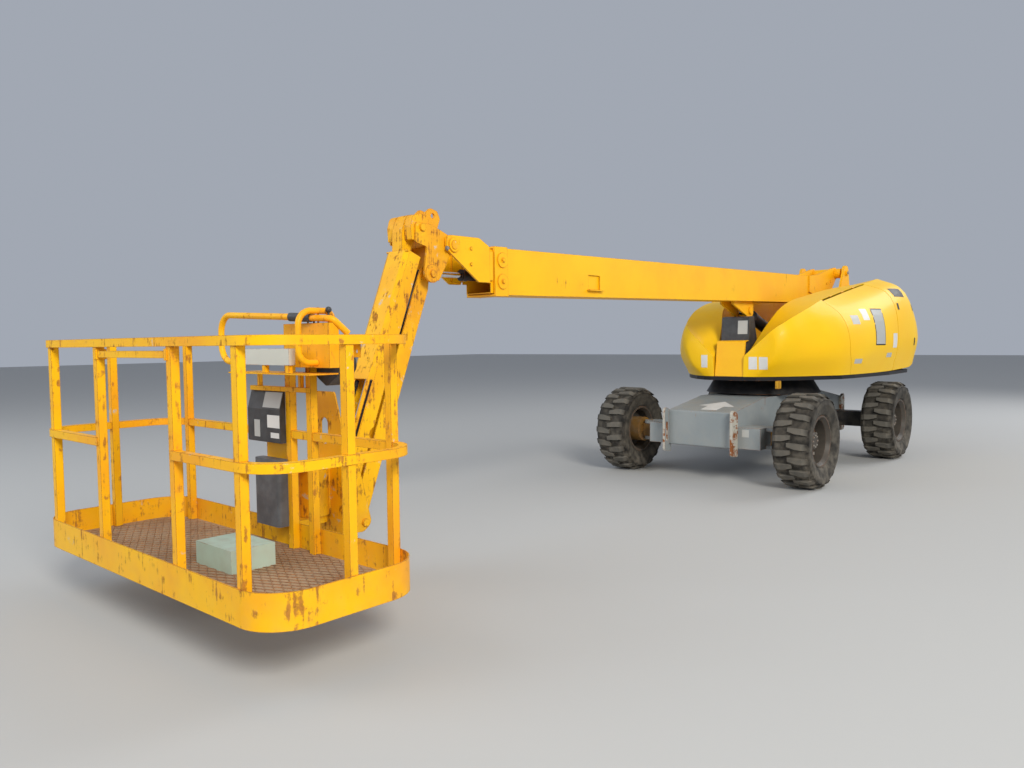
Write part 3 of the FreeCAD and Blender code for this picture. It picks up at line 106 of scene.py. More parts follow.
def ramp(tree, value, low, high, smooth=True):
    made = add(tree, "ShaderNodeMapRange", interpolation_type="SMOOTHSTEP" if smooth else "LINEAR")
    link(tree, value, made.inputs["Value"])
    made.inputs["From Min"].default_value = low
    made.inputs["From Max"].default_value = high
    return made.outputs["Result"]


def mix(tree, factor, first, second):
    made = add(tree, "ShaderNodeMix", data_type="RGBA")
    link(tree, factor, made.inputs["Factor"])
    for name, value in ((6, first), (7, second)):
        if hasattr(value, "is_linked"):
            link(tree, value, made.inputs[name])
        else:
            made.inputs[name].default_value = (*value, 1.0)
    return made.outputs[2]


def new_group(name, inputs, outputs):
    tree = bpy.data.node_groups.new(name, "ShaderNodeTree")
    for title, kind, value in inputs:
        socket = tree.interface.new_socket(title, in_out="INPUT", socket_type=kind)
        if value is not None:
            socket.default_value = value
    for title, kind in outputs:
        tree.interface.new_socket(title, in_out="OUTPUT", socket_type=kind)
    return tree, add(tree, "NodeGroupInput").outputs, add(tree, "NodeGroupOutput").inputs


# %% [markdown]
# ## Shared effects
# Edge wear compares a rounded normal with the true one. Rust gathers in noisy patches and runs down in
# streaks. Dust settles low and on what faces up.

# %% Edge wear
edge_wear, given, result = new_group(
    "Edge wear", [("Radius", "NodeSocketFloat", 0.006), ("Scale", "NodeSocketFloat", 9.0),
                  ("Amount", "NodeSocketFloat", 0.5)], [("Mask", "NodeSocketFloat")])
bevel = add(edge_wear, "ShaderNodeBevel", samples=4)
link(edge_wear, given["Radius"], bevel.inputs["Radius"])
geometry = add(edge_wear, "ShaderNodeNewGeometry")
dot = add(edge_wear, "ShaderNodeVectorMath", operation="DOT_PRODUCT")
link(edge_wear, bevel.outputs[0], dot.inputs[0])
link(edge_wear, geometry.outputs["Normal"], dot.inputs[1])
bend = ramp(edge_wear, math_node(edge_wear, "SUBTRACT", 1.0, dot.outputs["Value"]), 0.02, 0.22)
place = add(edge_wear, "ShaderNodeTexCoord").outputs["Object"]
noise = add(edge_wear, "ShaderNodeTexNoise")
noise.inputs["Detail"].default_value = 6.0
noise.inputs["Roughness"].default_value = 0.7
link(edge_wear, place, noise.inputs["Vector"])
link(edge_wear, given["Scale"], noise.inputs["Scale"])
floor_level = math_node(edge_wear, "SUBTRACT", 1.0, given["Amount"])
rough = math_node(edge_wear, "SUBTRACT", noise.outputs["Fac"], math_node(edge_wear, "MULTIPLY", floor_level, 0.62))
link(edge_wear, math_node(edge_wear, "MULTIPLY", bend, ramp(edge_wear, rough, 0.02, 0.16)), result["Mask"])

# %% Rust patches with streaks
rust_patches, given, result = new_group(
    "Rust patches", [("Scale", "NodeSocketFloat", 4.0), ("Amount", "NodeSocketFloat", 0.4),
                     ("Streak", "NodeSocketFloat", 0.5)],
    [("Mask", "NodeSocketFloat"), ("Color", "NodeSocketColor")])
place = add(rust_patches, "ShaderNodeTexCoord").outputs["Object"]
patch = add(rust_patches, "ShaderNodeTexNoise")
patch.inputs["Detail"].default_value = 9.0
patch.inputs["Roughness"].default_value = 0.68
link(rust_patches, place, patch.inputs["Vector"])
link(rust_patches, given["Scale"], patch.inputs["Scale"])
stretch = add(rust_patches, "ShaderNodeMapping")
stretch.inputs["Scale"].default_value = (60.0, 60.0, 3.5)
link(rust_patches, place, stretch.inputs["Vector"])
run = add(rust_patches, "ShaderNodeTexNoise")
run.inputs["Scale"].default_value = 1.0
run.inputs["Detail"].default_value = 5.0
link(rust_patches, stretch.outputs[0], run.inputs["Vector"])
level = math_node(rust_patches, "ADD", patch.outputs["Fac"],
                  math_node(rust_patches, "MULTIPLY", given["Streak"],
                            math_node(rust_patches, "SUBTRACT", run.outputs["Fac"], 0.5)))
edge = math_node(rust_patches, "SUBTRACT", level,
                 math_node(rust_patches, "SUBTRACT", 0.78, math_node(rust_patches, "MULTIPLY", given["Amount"], 0.3)))
link(rust_patches, math_node(rust_patches, "MULTIPLY", ramp(rust_patches, edge, 0.0, 0.13), 0.85),
     result["Mask"])
fine = add(rust_patches, "ShaderNodeTexNoise")
fine.inputs["Scale"].default_value = 60.0
fine.inputs["Detail"].default_value = 4.0
link(rust_patches, place, fine.inputs["Vector"])
link(rust_patches, mix(rust_patches, ramp(rust_patches, fine.outputs["Fac"], 0.35, 0.65),
                       (0.17, 0.052, 0.012), (0.42, 0.150, 0.026)), result["Color"])

# %% Dust on what faces up and near the ground
dust_group, given, result = new_group(
    "Dust", [("Height", "NodeSocketFloat", 0.6), ("Amount", "NodeSocketFloat", 0.4)],
    [("Mask", "NodeSocketFloat")])
place = add(dust_group, "ShaderNodeTexCoord").outputs["Object"]
parts = add(dust_group, "ShaderNodeSeparateXYZ")
link(dust_group, place, parts.inputs[0])
facing = add(dust_group, "ShaderNodeSeparateXYZ")
link(dust_group, add(dust_group, "ShaderNodeNewGeometry").outputs["Normal"], facing.inputs[0])
low = math_node(dust_group, "SUBTRACT", 1.0, math_node(dust_group, "DIVIDE", parts.outputs["Z"], given["Height"]),
                clamp=True)
top = ramp(dust_group, facing.outputs["Z"], 0.35, 0.95)
grain = add(dust_group, "ShaderNodeTexNoise")
grain.inputs["Scale"].default_value = 14.0
grain.inputs["Detail"].default_value = 8.0
link(dust_group, place, grain.inputs["Vector"])
both = math_node(dust_group, "MAXIMUM", low, math_node(dust_group, "MULTIPLY", top, 0.7))
speck = ramp(dust_group, grain.outputs["Fac"], 0.3, 0.75)
link(dust_group, math_node(dust_group, "MULTIPLY", math_node(dust_group, "MULTIPLY", both, speck),
                           given["Amount"], clamp=True), result["Mask"])


# %% [markdown]
# ## Materials
# Painted steel shares one recipe: a slightly uneven colour, rust patches, bare rusty edges and dust.

# %% The painted recipe
def shader(name, rough, metal=0.0, specular=0.5, coat=0.0):
    material = bpy.data.materials.new(name)
    material.use_nodes = True
    tree = material.node_tree
    surface = tree.nodes["Principled BSDF"]
    surface.inputs["Roughness"].default_value = rough
    surface.inputs["Metallic"].default_value = metal
    surface.inputs["Specular IOR Level"].default_value = specular
    surface.inputs["Coat Weight"].default_value = coat
    return material, tree, surface


def use(tree, group, **values):
    made = add(tree, "ShaderNodeGroup", node_tree=group)
    for name, value in values.items():
        made.inputs[name.capitalize()].default_value = value
    return made


def object_noise(tree, scale, detail=5.0, roughness=0.6):
    place = add(tree, "ShaderNodeTexCoord").outputs["Object"]
    made = add(tree, "ShaderNodeTexNoise")
    made.inputs["Scale"].default_value = scale
    made.inputs["Detail"].default_value = detail
    made.inputs["Roughness"].default_value = roughness
    link(tree, place, made.inputs["Vector"])
    return made.outputs["Fac"]


def bump(tree, height, distance, surface, strength=0.5):
    made = add(tree, "ShaderNodeBump")
    made.inputs["Strength"].default_value = strength
    made.inputs["Distance"].default_value = distance
    link(tree, height, made.inputs["Height"])
    link(tree, made.outputs[0], surface.inputs["Normal"])


def painted(name, color, faded, rough=0.42, rust=0.35, streak=0.5, scale=4.0, edges=0.5, dust=0.25,
            dust_color=(0.36, 0.30, 0.22), coat=0.0, scuffs=0.0):
    material, tree, surface = shader(name, rough, specular=0.22, coat=coat)
    body = mix(tree, ramp(tree, object_noise(tree, 1.7), 0.35, 0.7), color, faded)
    if scuffs:
        chalk = ramp(tree, object_noise(tree, 8.0, 9.0, 0.75), 0.72 - 0.16 * scuffs, 0.78 - 0.16 * scuffs)
        body = mix(tree, chalk, body, (0.56, 0.50, 0.40))
    patches = use(tree, rust_patches, scale=scale, amount=rust, streak=streak)
    body = mix(tree, patches.outputs["Mask"], body, patches.outputs["Color"])
    worn = use(tree, edge_wear, amount=edges)
    body = mix(tree, worn.outputs["Mask"], body, patches.outputs["Color"])
    settled = use(tree, dust_group, amount=dust)
    body = mix(tree, settled.outputs["Mask"], body, dust_color)
    link(tree, body, surface.inputs["Base Color"])
    damage = math_node(tree, "MAXIMUM", patches.outputs["Mask"], worn.outputs["Mask"])
    dull = math_node(tree, "MAXIMUM", damage, settled.outputs["Mask"])
    link(tree, math_node(tree, "ADD", math_node(tree, "MULTIPLY", dull, 0.85 - rough), rough),
         surface.inputs["Roughness"])
    grain = math_node(tree, "MULTIPLY", object_noise(tree, 220.0, 3.0), math_node(tree, "ADD", damage, 0.12))
    bump(tree, grain, 0.002, surface, 0.6)
    return material


YELLOW = (0.93, 0.50, 0.004)
YELLOW_FADED = (0.90, 0.43, 0.006)
materials = {
    "yellow_steel": painted("yellow_steel", YELLOW, YELLOW_FADED, rust=0.42, edges=0.62, dust=0.15),
    "yellow_basket": painted("yellow_basket", YELLOW, (0.86, 0.36, 0.01), rust=0.74, streak=0.5, scale=15.0,
                             edges=0.9, dust=0.15, scuffs=0.6),
    "yellow_hood": painted("yellow_hood", (0.94, 0.57, 0.006), (0.93, 0.53, 0.006), rough=0.45, rust=0.02,
                           edges=0.02, dust=0.06, coat=0.06),
    "yellow_jib": painted("yellow_jib", YELLOW, (0.74, 0.31, 0.012), rust=0.80, streak=0.5, scale=11.0, edges=0.9,
                          dust=0.15, scuffs=0.8),
    "yellow_pin": painted("yellow_pin", (0.62, 0.34, 0.02), (0.50, 0.26, 0.02), rust=0.6, scale=14.0, edges=0.7,
                          dust=0.3),
    "grey_paint": painted("grey_paint", (0.24, 0.27, 0.28), (0.30, 0.32, 0.32), rust=0.45, edges=0.7, dust=0.35),
    "black_paint": painted("black_paint", (0.012, 0.012, 0.014), (0.02, 0.02, 0.022), rust=0.25, edges=0.3,
                           dust=0.35),
    "rusty_hub": painted("rusty_hub", (0.30, 0.15, 0.02), (0.10, 0.06, 0.03), rust=0.7, streak=0.3,
                         scale=7.0, edges=0.8, dust=0.4),
    "rim_steel": painted("rim_steel", (0.060, 0.052, 0.044), (0.085, 0.074, 0.062), rust=0.36, streak=0.2,
                         scale=11.0, edges=0.45, dust=0.5, dust_color=(0.17, 0.14, 0.11)),
    "green_box": painted("green_box", (0.42, 0.56, 0.46), (0.52, 0.60, 0.52), rust=0.25, edges=0.3, dust=0.5),
    "pale_box": painted("pale_box", (0.55, 0.56, 0.50), (0.62, 0.62, 0.55), rust=0.2, edges=0.4, dust=0.3),
    "blank_plate": painted("blank_plate", (0.72, 0.72, 0.70), (0.60, 0.61, 0.60), rust=0.02, edges=0.0, dust=0.12),
    "grey_plate": painted("grey_plate", (0.42, 0.43, 0.42), (0.50, 0.50, 0.47), rust=0.05, edges=0.0, dust=0.2),
    "black_plate": painted("black_plate", (0.010, 0.010, 0.011), (0.02, 0.02, 0.02), rust=0.02, edges=0.0, dust=0.1),
    "zinc": painted("zinc", (0.30, 0.28, 0.25), (0.20, 0.17, 0.14), rough=0.5, rust=0.6, scale=30.0, edges=0.2,
                    dust=0.3),
    "engine": painted("engine", (0.10, 0.10, 0.105), (0.15, 0.15, 0.15), rust=0.3, edges=0.3, dust=0.4),
}


# %% Rubber, plastic, chrome and mesh
def from_axle(tree):
    """How far a place on a wheel lies from its axle, which is the same for all four."""
    apart = add(tree, "ShaderNodeSeparateXYZ")
    link(tree, add(tree, "ShaderNodeTexCoord").outputs["Object"], apart.inputs[0])
    ahead = math_node(tree, "ABSOLUTE", math_node(tree, "ADD", apart.outputs["X"], MIDDLE))
    fore = math_node(tree, "SUBTRACT", ahead, WHEEL_X)
    high = math_node(tree, "SUBTRACT", apart.outputs["Z"], WHEEL_Z)
    squares = math_node(tree, "ADD", math_node(tree, "MULTIPLY", fore, fore), math_node(tree, "MULTIPLY", high, high))
    return math_node(tree, "SQRT", squares)


def rubber(name, color, dusty, dust=0.8, worn=False):
    material, tree, surface = shader(name, 0.85, specular=0.3)
    body = mix(tree, ramp(tree, object_noise(tree, 9.0, 8.0, 0.7), 0.3, 0.75), color, dusty)
    if worn:
        reach = from_axle(tree)
        body = mix(tree, ramp(tree, reach, *LUG_TOP), body, (0.105, 0.098, 0.084))
        # worn=True also paints a near-black ring below the tread, darker than clean rubber: painted shade in the
        # groove
        groove_shade = math_node(tree, "MULTIPLY", ramp(tree, reach, *GROOVE_SHADE_IN),
                           math_node(tree, "SUBTRACT", 1.0, ramp(tree, reach, *GROOVE_SHADE_OUT)))
        body = mix(tree, groove_shade, body, (0.010, 0.009, 0.008))
    settled = use(tree, dust_group, height=1.0, amount=dust)
    body = mix(tree, settled.outputs["Mask"], body, (0.20, 0.175, 0.14))
    link(tree, body, surface.inputs["Base Color"])
    bump(tree, object_noise(tree, 160.0, 6.0), 0.003, surface, 0.5)
    return material


def plastic(name, color, rough=0.5):
    material, tree, surface = shader(name, rough, specular=0.4)
    body = mix(tree, ramp(tree, object_noise(tree, 12.0), 0.3, 0.7), color, tuple(c * 1.5 + 0.01 for c in color))
    settled = use(tree, dust_group, height=0.2, amount=0.35)
    body = mix(tree, settled.outputs["Mask"], body, (0.25, 0.23, 0.2))
    link(tree, body, surface.inputs["Base Color"])
    bump(tree, object_noise(tree, 700.0, 2.0), 0.0008, surface, 0.4)
    return material


def metal(name, color, rough, grain=300.0):
    material, tree, surface = shader(name, rough, metal=1.0)
    tone = tuple(c * 0.75 for c in color)
    link(tree, mix(tree, object_noise(tree, 25.0, 6.0), tone, color), surface.inputs["Base Color"])
    bump(tree, object_noise(tree, grain, 3.0), 0.0006, surface, 0.3)
    return material


materials["tyre_rubber"] = rubber("tyre_rubber", (0.020, 0.019, 0.017), (0.065, 0.058, 0.048), worn=True)
materials["hose_rubber"] = rubber("hose_rubber", (0.012, 0.012, 0.012), (0.03, 0.03, 0.03), 0.2)
materials["dark_plastic"] = plastic("dark_plastic", (0.030, 0.031, 0.034))
materials["grey_plastic"] = plastic("grey_plastic", (0.075, 0.078, 0.085), 0.45)
materials["chrome"] = metal("chrome", (0.75, 0.75, 0.77), 0.12)
materials["bare_steel"] = metal("bare_steel", (0.42, 0.38, 0.33), 0.45)
materials["mesh_floor"] = painted("mesh_floor", (0.34, 0.22, 0.13), (0.42, 0.30, 0.19), rough=0.7, rust=0.8,
                                  streak=0.1, scale=7.0, edges=0.9, dust=0.5)


def pale_lugs(material, side, ahead):
    """Bare, rusty tie-down lugs: the only parts of the chassis beyond these distances from its middle."""
    tree = material.node_tree
    base = tree.nodes["Principled BSDF"].inputs["Base Color"]
    painted_color = base.links[0].from_socket
    apart = add(tree, "ShaderNodeSeparateXYZ")
    link(tree, add(tree, "ShaderNodeTexCoord").outputs["Object"], apart.inputs[0])
    out = math_node(tree, "GREATER_THAN", math_node(tree, "ABSOLUTE", apart.outputs["Y"]), side)
    fore = math_node(tree, "ABSOLUTE", math_node(tree, "ADD", apart.outputs["X"], MIDDLE))
    lugs = math_node(tree, "MULTIPLY", out, math_node(tree, "GREATER_THAN", fore, ahead))
    flaked = mix(tree, ramp(tree, object_noise(tree, 13.0, 8.0, 0.7), 0.50, 0.56), (0.46, 0.44, 0.38),
                 (0.25, 0.085, 0.024))
    link(tree, mix(tree, lugs, painted_color, flaked), base)


pale_lugs(materials["grey_paint"], CHASSIS_SIDE, LUG_START)
print("materials", len(materials))

# %% [markdown]
# ## Dress the CAD nodes
# Each node keeps its shape and takes its finish by name.

# %% Node to material
FINISH = {
    "yellow_steel": ["uprights", "boom_outer", "boom_inner", "basket_mount", "centre_cover"],
    "yellow_jib": ["jib_head", "jib_lower_arm", "jib_upper_arm", "platform_bracket"],
    "yellow_basket": ["basket_frame", "gate_bar", "console"],
    "pale_box": ["console_front"],
    "yellow_hood": ["hood_noses", "tail_cowl", "door_left", "door_right"],
    "grey_paint": ["chassis_frame", "front_axle"],
    "black_paint": ["slew_ring", "rear_axle", "turntable", "lift_barrel", "level_barrel", "jib_barrel",
                    "counterweight"],
    "rusty_hub": ["knuckle_left", "knuckle_right"],
    "rim_steel": ["rim_front_left", "rim_front_right", "rim_rear_left", "rim_rear_right"],
    "engine": ["engine_block", "hydraulic_tank"],
    "bare_steel": ["tie_rod"],
    "hose_rubber": ["jib_hoses"],
    "chrome": ["lift_rod", "level_rod", "jib_rod"],
    "tyre_rubber": ["tyre_front_left", "tyre_front_right", "tyre_rear_left", "tyre_rear_right"],
    "dark_plastic": ["cowl", "document_box", "console_controls"],
    "grey_plastic": ["container"],
    "green_box": ["foot_switch"],
    "mesh_floor": ["basket_floor"],
}
for finish, names in FINISH.items():
    for name in names:
        mesh = nodes[name].data
        mesh.materials.clear()
        mesh.materials.append(materials[finish])
print("dressed", sum(len(names) for names in FINISH.values()), "of", len(nodes))
bare = sorted(set(nodes) - {n for names in FINISH.values() for n in names})
print("bare nodes", bare)

# %% [markdown]
# ## Small repeated parts
# Node trees with named inputs make the bolts, the weld beads and the floor's mesh. What they make is kept
# as plain mesh, and only then rides on its body.

# %% Geometry trees
def new_tree(name, inputs):
    tree = bpy.data.node_groups.new(name, "GeometryNodeTree")
    tree.interface.new_socket("Geometry", in_out="INPUT", socket_type="NodeSocketGeometry")
    for title, kind, value in inputs:
        socket = tree.interface.new_socket(title, in_out="INPUT", socket_type=kind)
        if value is not None:
            socket.default_value = value
    tree.interface.new_socket("Geometry", in_out="OUTPUT", socket_type="NodeSocketGeometry")
    return tree, add(tree, "NodeGroupInput").outputs, add(tree, "NodeGroupOutput").inputs


def finish_tree(tree, shape, given, result):
    """Realizes what was made, gives it its material and hands it on."""
    real = add(tree, "GeometryNodeRealizeInstances")
    dressed = add(tree, "GeometryNodeSetMaterial")
    link(tree, shape, real.inputs[0])
    link(tree, real.outputs[0], dressed.inputs["Geometry"])
    link(tree, given["Finish"], dressed.inputs["Material"])
    link(tree, dressed.outputs[0], result["Geometry"])


def grow(tree, name, points, edges, values, turn=None):
    """Runs a tree on a few points or edges and keeps the result as plain mesh."""
    seed = bpy.data.meshes.new(name)
    seed.from_pydata([tuple(p) for p in points], edges, [])
    made = bpy.data.objects.new(name, seed)
    bpy.context.scene.collection.objects.link(made)
    modifier = made.modifiers.new("grow", "NODES")
    modifier.node_group = tree
    for item in tree.interface.items_tree:
        if item.in_out == "INPUT" and item.name in values:
            modifier[item.identifier] = values[item.name]
    bpy.context.view_layer.update()
    shape = made.evaluated_get(bpy.context.evaluated_depsgraph_get())
    mesh = bpy.data.meshes.new_from_object(shape)
    made.modifiers.clear()
    made.data = mesh
    if turn is not None:
        mesh.transform(turn)
    return made


# %% Bolt tree: a washer and a hexagon head at each point
bolt_tree, given, result = new_tree("Bolts", [
    ("Head", "NodeSocketFloat", 0.012), ("Height", "NodeSocketFloat", 0.008), ("Finish", "NodeSocketMaterial", None)])
hexagon = add(bolt_tree, "GeometryNodeMeshCylinder")
hexagon.inputs["Vertices"].default_value = 6
washer = add(bolt_tree, "GeometryNodeMeshCylinder")
washer.inputs["Vertices"].default_value = 18
link(bolt_tree, given["Head"], hexagon.inputs["Radius"])
link(bolt_tree, math_node(bolt_tree, "MULTIPLY", given["Head"], 1.35), washer.inputs["Radius"])
link(bolt_tree, given["Height"], hexagon.inputs["Depth"])
link(bolt_tree, math_node(bolt_tree, "MULTIPLY", given["Height"], 0.3), washer.inputs["Depth"])
lifted = add(bolt_tree, "GeometryNodeTransform")
raise_by = add(bolt_tree, "ShaderNodeCombineXYZ")
link(bolt_tree, math_node(bolt_tree, "MULTIPLY", given["Height"], 0.6), raise_by.inputs["Z"])
link(bolt_tree, hexagon.outputs["Mesh"], lifted.inputs["Geometry"])
link(bolt_tree, raise_by.outputs[0], lifted.inputs["Translation"])
both = add(bolt_tree, "GeometryNodeJoinGeometry")
link(bolt_tree, lifted.outputs[0], both.inputs[0])
link(bolt_tree, washer.outputs["Mesh"], both.inputs[0])
spread = add(bolt_tree, "GeometryNodeInstanceOnPoints")
turn_by = add(bolt_tree, "FunctionNodeRandomValue", data_type="FLOAT_VECTOR")
turn_by.inputs[0].default_value = (0.0, 0.0, 0.0)
turn_by.inputs[1].default_value = (0.0, 0.0, 1.05)
link(bolt_tree, given["Geometry"], spread.inputs["Points"])
link(bolt_tree, both.outputs[0], spread.inputs["Instance"])
link(bolt_tree, turn_by.outputs[0], spread.inputs["Rotation"])
finish_tree(bolt_tree, spread.outputs[0], given, result)

# %% Weld tree: a lumpy bead along each edge
weld_tree, given, result = new_tree("Weld", [
    ("Radius", "NodeSocketFloat", 0.004), ("Step", "NodeSocketFloat", 0.006), ("Finish", "NodeSocketMaterial", None)])
curve = add(weld_tree, "GeometryNodeMeshToCurve")
steps = add(weld_tree, "GeometryNodeResampleCurve", mode="LENGTH")
tube = add(weld_tree, "GeometryNodeCurveToMesh")
ring = add(weld_tree, "GeometryNodeCurvePrimitiveCircle")
ring.inputs["Resolution"].default_value = 6
lumps = add(weld_tree, "FunctionNodeRandomValue", data_type="FLOAT")
lumps.inputs[2].default_value = 0.75
lumps.inputs[3].default_value = 1.15
link(weld_tree, given["Geometry"], curve.inputs[0])
link(weld_tree, curve.outputs[0], steps.inputs["Curve"])
link(weld_tree, given["Step"], steps.inputs["Length"])
link(weld_tree, steps.outputs[0], tube.inputs["Curve"])
link(weld_tree, given["Radius"], ring.inputs["Radius"])
link(weld_tree, ring.outputs[0], tube.inputs["Profile Curve"])
link(weld_tree, lumps.outputs[1], tube.inputs["Scale"])
finish_tree(weld_tree, tube.outputs[0], given, result)

# %% Floor mesh tree: a diamond of thin strands at each point
mesh_tree, given, result = new_tree("Floor mesh", [
    ("Long", "NodeSocketFloat", 0.04), ("Short", "NodeSocketFloat", 0.02), ("Strand", "NodeSocketFloat", 0.002),
    ("Finish", "NodeSocketMaterial", None)])
diamond = add(mesh_tree, "GeometryNodeCurvePrimitiveCircle")
diamond.inputs["Resolution"].default_value = 4
diamond.inputs["Radius"].default_value = 1.0
shaped = add(mesh_tree, "GeometryNodeTransform")
scale = add(mesh_tree, "ShaderNodeCombineXYZ")
scale.inputs["Z"].default_value = 1.0
link(mesh_tree, given["Short"], scale.inputs["X"])
link(mesh_tree, given["Long"], scale.inputs["Y"])
link(mesh_tree, diamond.outputs[0], shaped.inputs["Geometry"])
link(mesh_tree, scale.outputs[0], shaped.inputs["Scale"])
strand = add(mesh_tree, "GeometryNodeCurvePrimitiveCircle")
strand.inputs["Resolution"].default_value = 4
link(mesh_tree, given["Strand"], strand.inputs["Radius"])
tube = add(mesh_tree, "GeometryNodeCurveToMesh")
link(mesh_tree, shaped.outputs[0], tube.inputs["Curve"])
link(mesh_tree, strand.outputs[0], tube.inputs["Profile Curve"])
spread = add(mesh_tree, "GeometryNodeInstanceOnPoints")
link(mesh_tree, given["Geometry"], spread.inputs["Points"])
link(mesh_tree, tube.outputs[0], spread.inputs["Instance"])
finish_tree(mesh_tree, spread.outputs[0], given, result)
print("trees", [t.name for t in (bolt_tree, weld_tree, mesh_tree)])

# %% [markdown]
# ## Places
# Places are given from the slewing axis, as on the machine's drawing, and moved back to the frame's origin.

# %% Places and pieces
def at(x, y, z):
    return Vector((x - MIDDLE, y, z))


def facing(way, start=(0, 0, 0)):
    """A matrix that turns local Z towards a direction, and moves to a start."""
    return Matrix.Translation(Vector(start)) @ Vector(way).to_track_quat("Z", "Y").to_matrix().to_4x4()


def bolts(name, places, way, body, head=0.012, height=0.008, finish="zinc"):
    turn = facing(way)
    back = turn.inverted()
    made = grow(bolt_tree, name, [back @ Vector(p) for p in places], [],
                {"Head": head, "Height": height, "Finish": materials[finish]}, turn)
    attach(made, body)
    return made


def weld(name, paths, body, radius=0.004, finish="yellow_steel"):
    points, edges = [], []
    for path in paths:
        first = len(points)
        points += [Vector(p) for p in path]
        edges += [(first + i, first + i + 1) for i in range(len(path) - 1)]
    made = grow(weld_tree, name, points, edges,
                {"Radius": radius, "Step": radius * 1.6, "Finish": materials[finish]})
    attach(made, body)
    return made


def mesh_piece(name, build, finish, body):
    """A piece from a bmesh builder, in the frame's own metres."""
    bm = bmesh.new()
    build(bm)
    bmesh.ops.recalc_face_normals(bm, faces=bm.faces)
    mesh = bpy.data.meshes.new(name)
    bm.to_mesh(mesh)
    bm.free()
    mesh.materials.append(materials[finish])
    made = bpy.data.objects.new(name, mesh)
    bpy.context.scene.collection.objects.link(made)
    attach(made, body)
    return made


# %% [markdown]
# ## Hoods
# The pressed hoods curve smoothly between the sections of the drawing, with a crisp fold only along the ridge
# and the crease. They stand in for the flat-faced shells of the CAD frame.

# %% Hood sections
HOOD = (
    # x; y of the inner foot; then y and z of the ridge, crease, shoulder, waist and outer foot
    (0.830, 0.160, 0.166, 1.165, 0.176, 1.200, 0.230, 1.185, 0.240, 1.090, 0.190, 0.984),
    (0.800, 0.165, 0.172, 1.195, 0.440, 1.440, 0.480, 1.380, 0.430, 1.120, 0.290, 0.984),
    (0.700, 0.172, 0.185, 1.267, 0.544, 1.532, 0.590, 1.440, 0.555, 1.160, 0.425, 0.984),
    (0.500, 0.200, 0.243, 1.482, 0.610, 1.620, 0.670, 1.500, 0.720, 1.190, 0.602, 0.984),
    (0.300, 0.300, 0.321, 1.685, 0.650, 1.693, 0.775, 1.540, 0.840, 1.200, 0.735, 0.984),
    (0.050, 0.345, 0.352, 1.775, 0.662, 1.765, 0.860, 1.590, 0.930, 1.200, 0.870, 0.984),
    (-0.200, 0.350, 0.356, 1.815, 0.660, 1.810, 0.885, 1.640, 0.975, 1.200, 0.915, 0.984),
    (-0.600, 0.352, 0.360, 1.880, 0.655, 1.880, 0.900, 1.740, 1.020, 1.270, 0.950, 0.984),
    (-1.100, 0.355, 0.400, 1.950, 0.660, 1.965, 0.910, 1.850, 1.050, 1.330, 0.990, 0.990),
    (-1.450, 0.355, 0.440, 1.990, 0.665, 2.020, 0.910, 1.935, 1.055, 1.370, 1.000, 1.000),
    (-1.750, 0.355, 0.450, 2.020, 0.660, 2.065, 0.895, 1.960, 1.055, 1.380, 1.005, 1.010),
    (-2.000, 0.355, 0.450, 1.930, 0.650, 1.970, 0.880, 1.850, 1.040, 1.380, 0.985, 1.040),
    (-2.200, 0.355, 0.450, 1.770, 0.640, 1.800, 0.860, 1.690, 0.980, 1.370, 0.925, 1.080),
    (-2.280, 0.355, 0.450, 1.620, 0.620, 1.620, 0.800, 1.560, 0.890, 1.350, 0.840, 1.130),
)
HOOD_WALL, HOOD_GAP, DOOR_LINE = 0.008, 0.006, 2.08
DOOR_REAR = -1.200
SEAM = (0.080, 0.080, 0.080, 0.060, 0.020, -0.100)


def slopes(xs, ys):
    """Slopes of a smooth curve through points that never swings past them."""
    steps = [(b - a) / (d - c) for a, b, c, d in zip(ys, ys[1:], xs, xs[1:])]
    result = [steps[0]]
    for a, b in zip(steps, steps[1:]):
        result.append(0.0 if a * b <= 0 else 2 * a * b / (a + b))
    return result + [steps[-1]]


def smooth_at(xs, ys, ms, x):
    i = max(0, min(len(xs) - 2, sum(1 for v in xs[1:-1] if v <= x)))
    h = xs[i + 1] - xs[i]
    t = (x - xs[i]) / h
    return ((1 + 2 * t) * (1 - t) ** 2 * ys[i] + t * (1 - t) ** 2 * h * ms[i]
            + t * t * (3 - 2 * t) * ys[i + 1] + t * t * (t - 1) * h * ms[i + 1])


rows = HOOD[::-1]
stations = [row[0] for row in rows]
curves = []
for line in range(6):
    ys = [row[1] if line == 0 else row[2 * line] for row in rows]
    zs = [row[11] if line == 0 else row[2 * line + 1] for row in rows]
    curves.append(((ys, slopes(stations, ys)), (zs, slopes(stations, zs))))


def line_place(line, x):
    (ys, my), (zs, mz) = curves[line]
    return Vector((x, smooth_at(stations, ys, my, x), smooth_at(stations, zs, mz, x)))


def hood_place(v, x):
    """A place on the hood: v runs over its six lines, x along the machine."""
    if v <= 2:
        i = min(int(v), 1)
        return line_place(i, x).lerp(line_place(i + 1, x), v - i)
    places = [line_place(i, x) for i in (2, 3, 4, 5)]
    lengths = [(b - a).length for a, b in zip(places, places[1:])]
    ways = [(b - a) / l for a, b, l in zip(places, places[1:], lengths)]
    bends = [ways[0]]
    for i in (0, 1):
        bends.append((ways[i] * lengths[i + 1] + ways[i + 1] * lengths[i]) / (lengths[i] + lengths[i + 1]))
    bends.append(ways[2])
    i = min(int(v) - 2, 2)
    t = v - 2 - i
    h = lengths[i]
    return (places[i] * (1 + 2 * t) * (1 - t) ** 2 + bends[i] * h * t * (1 - t) ** 2
            + places[i + 1] * t * t * (3 - 2 * t) + bends[i + 1] * h * t * t * (t - 1))


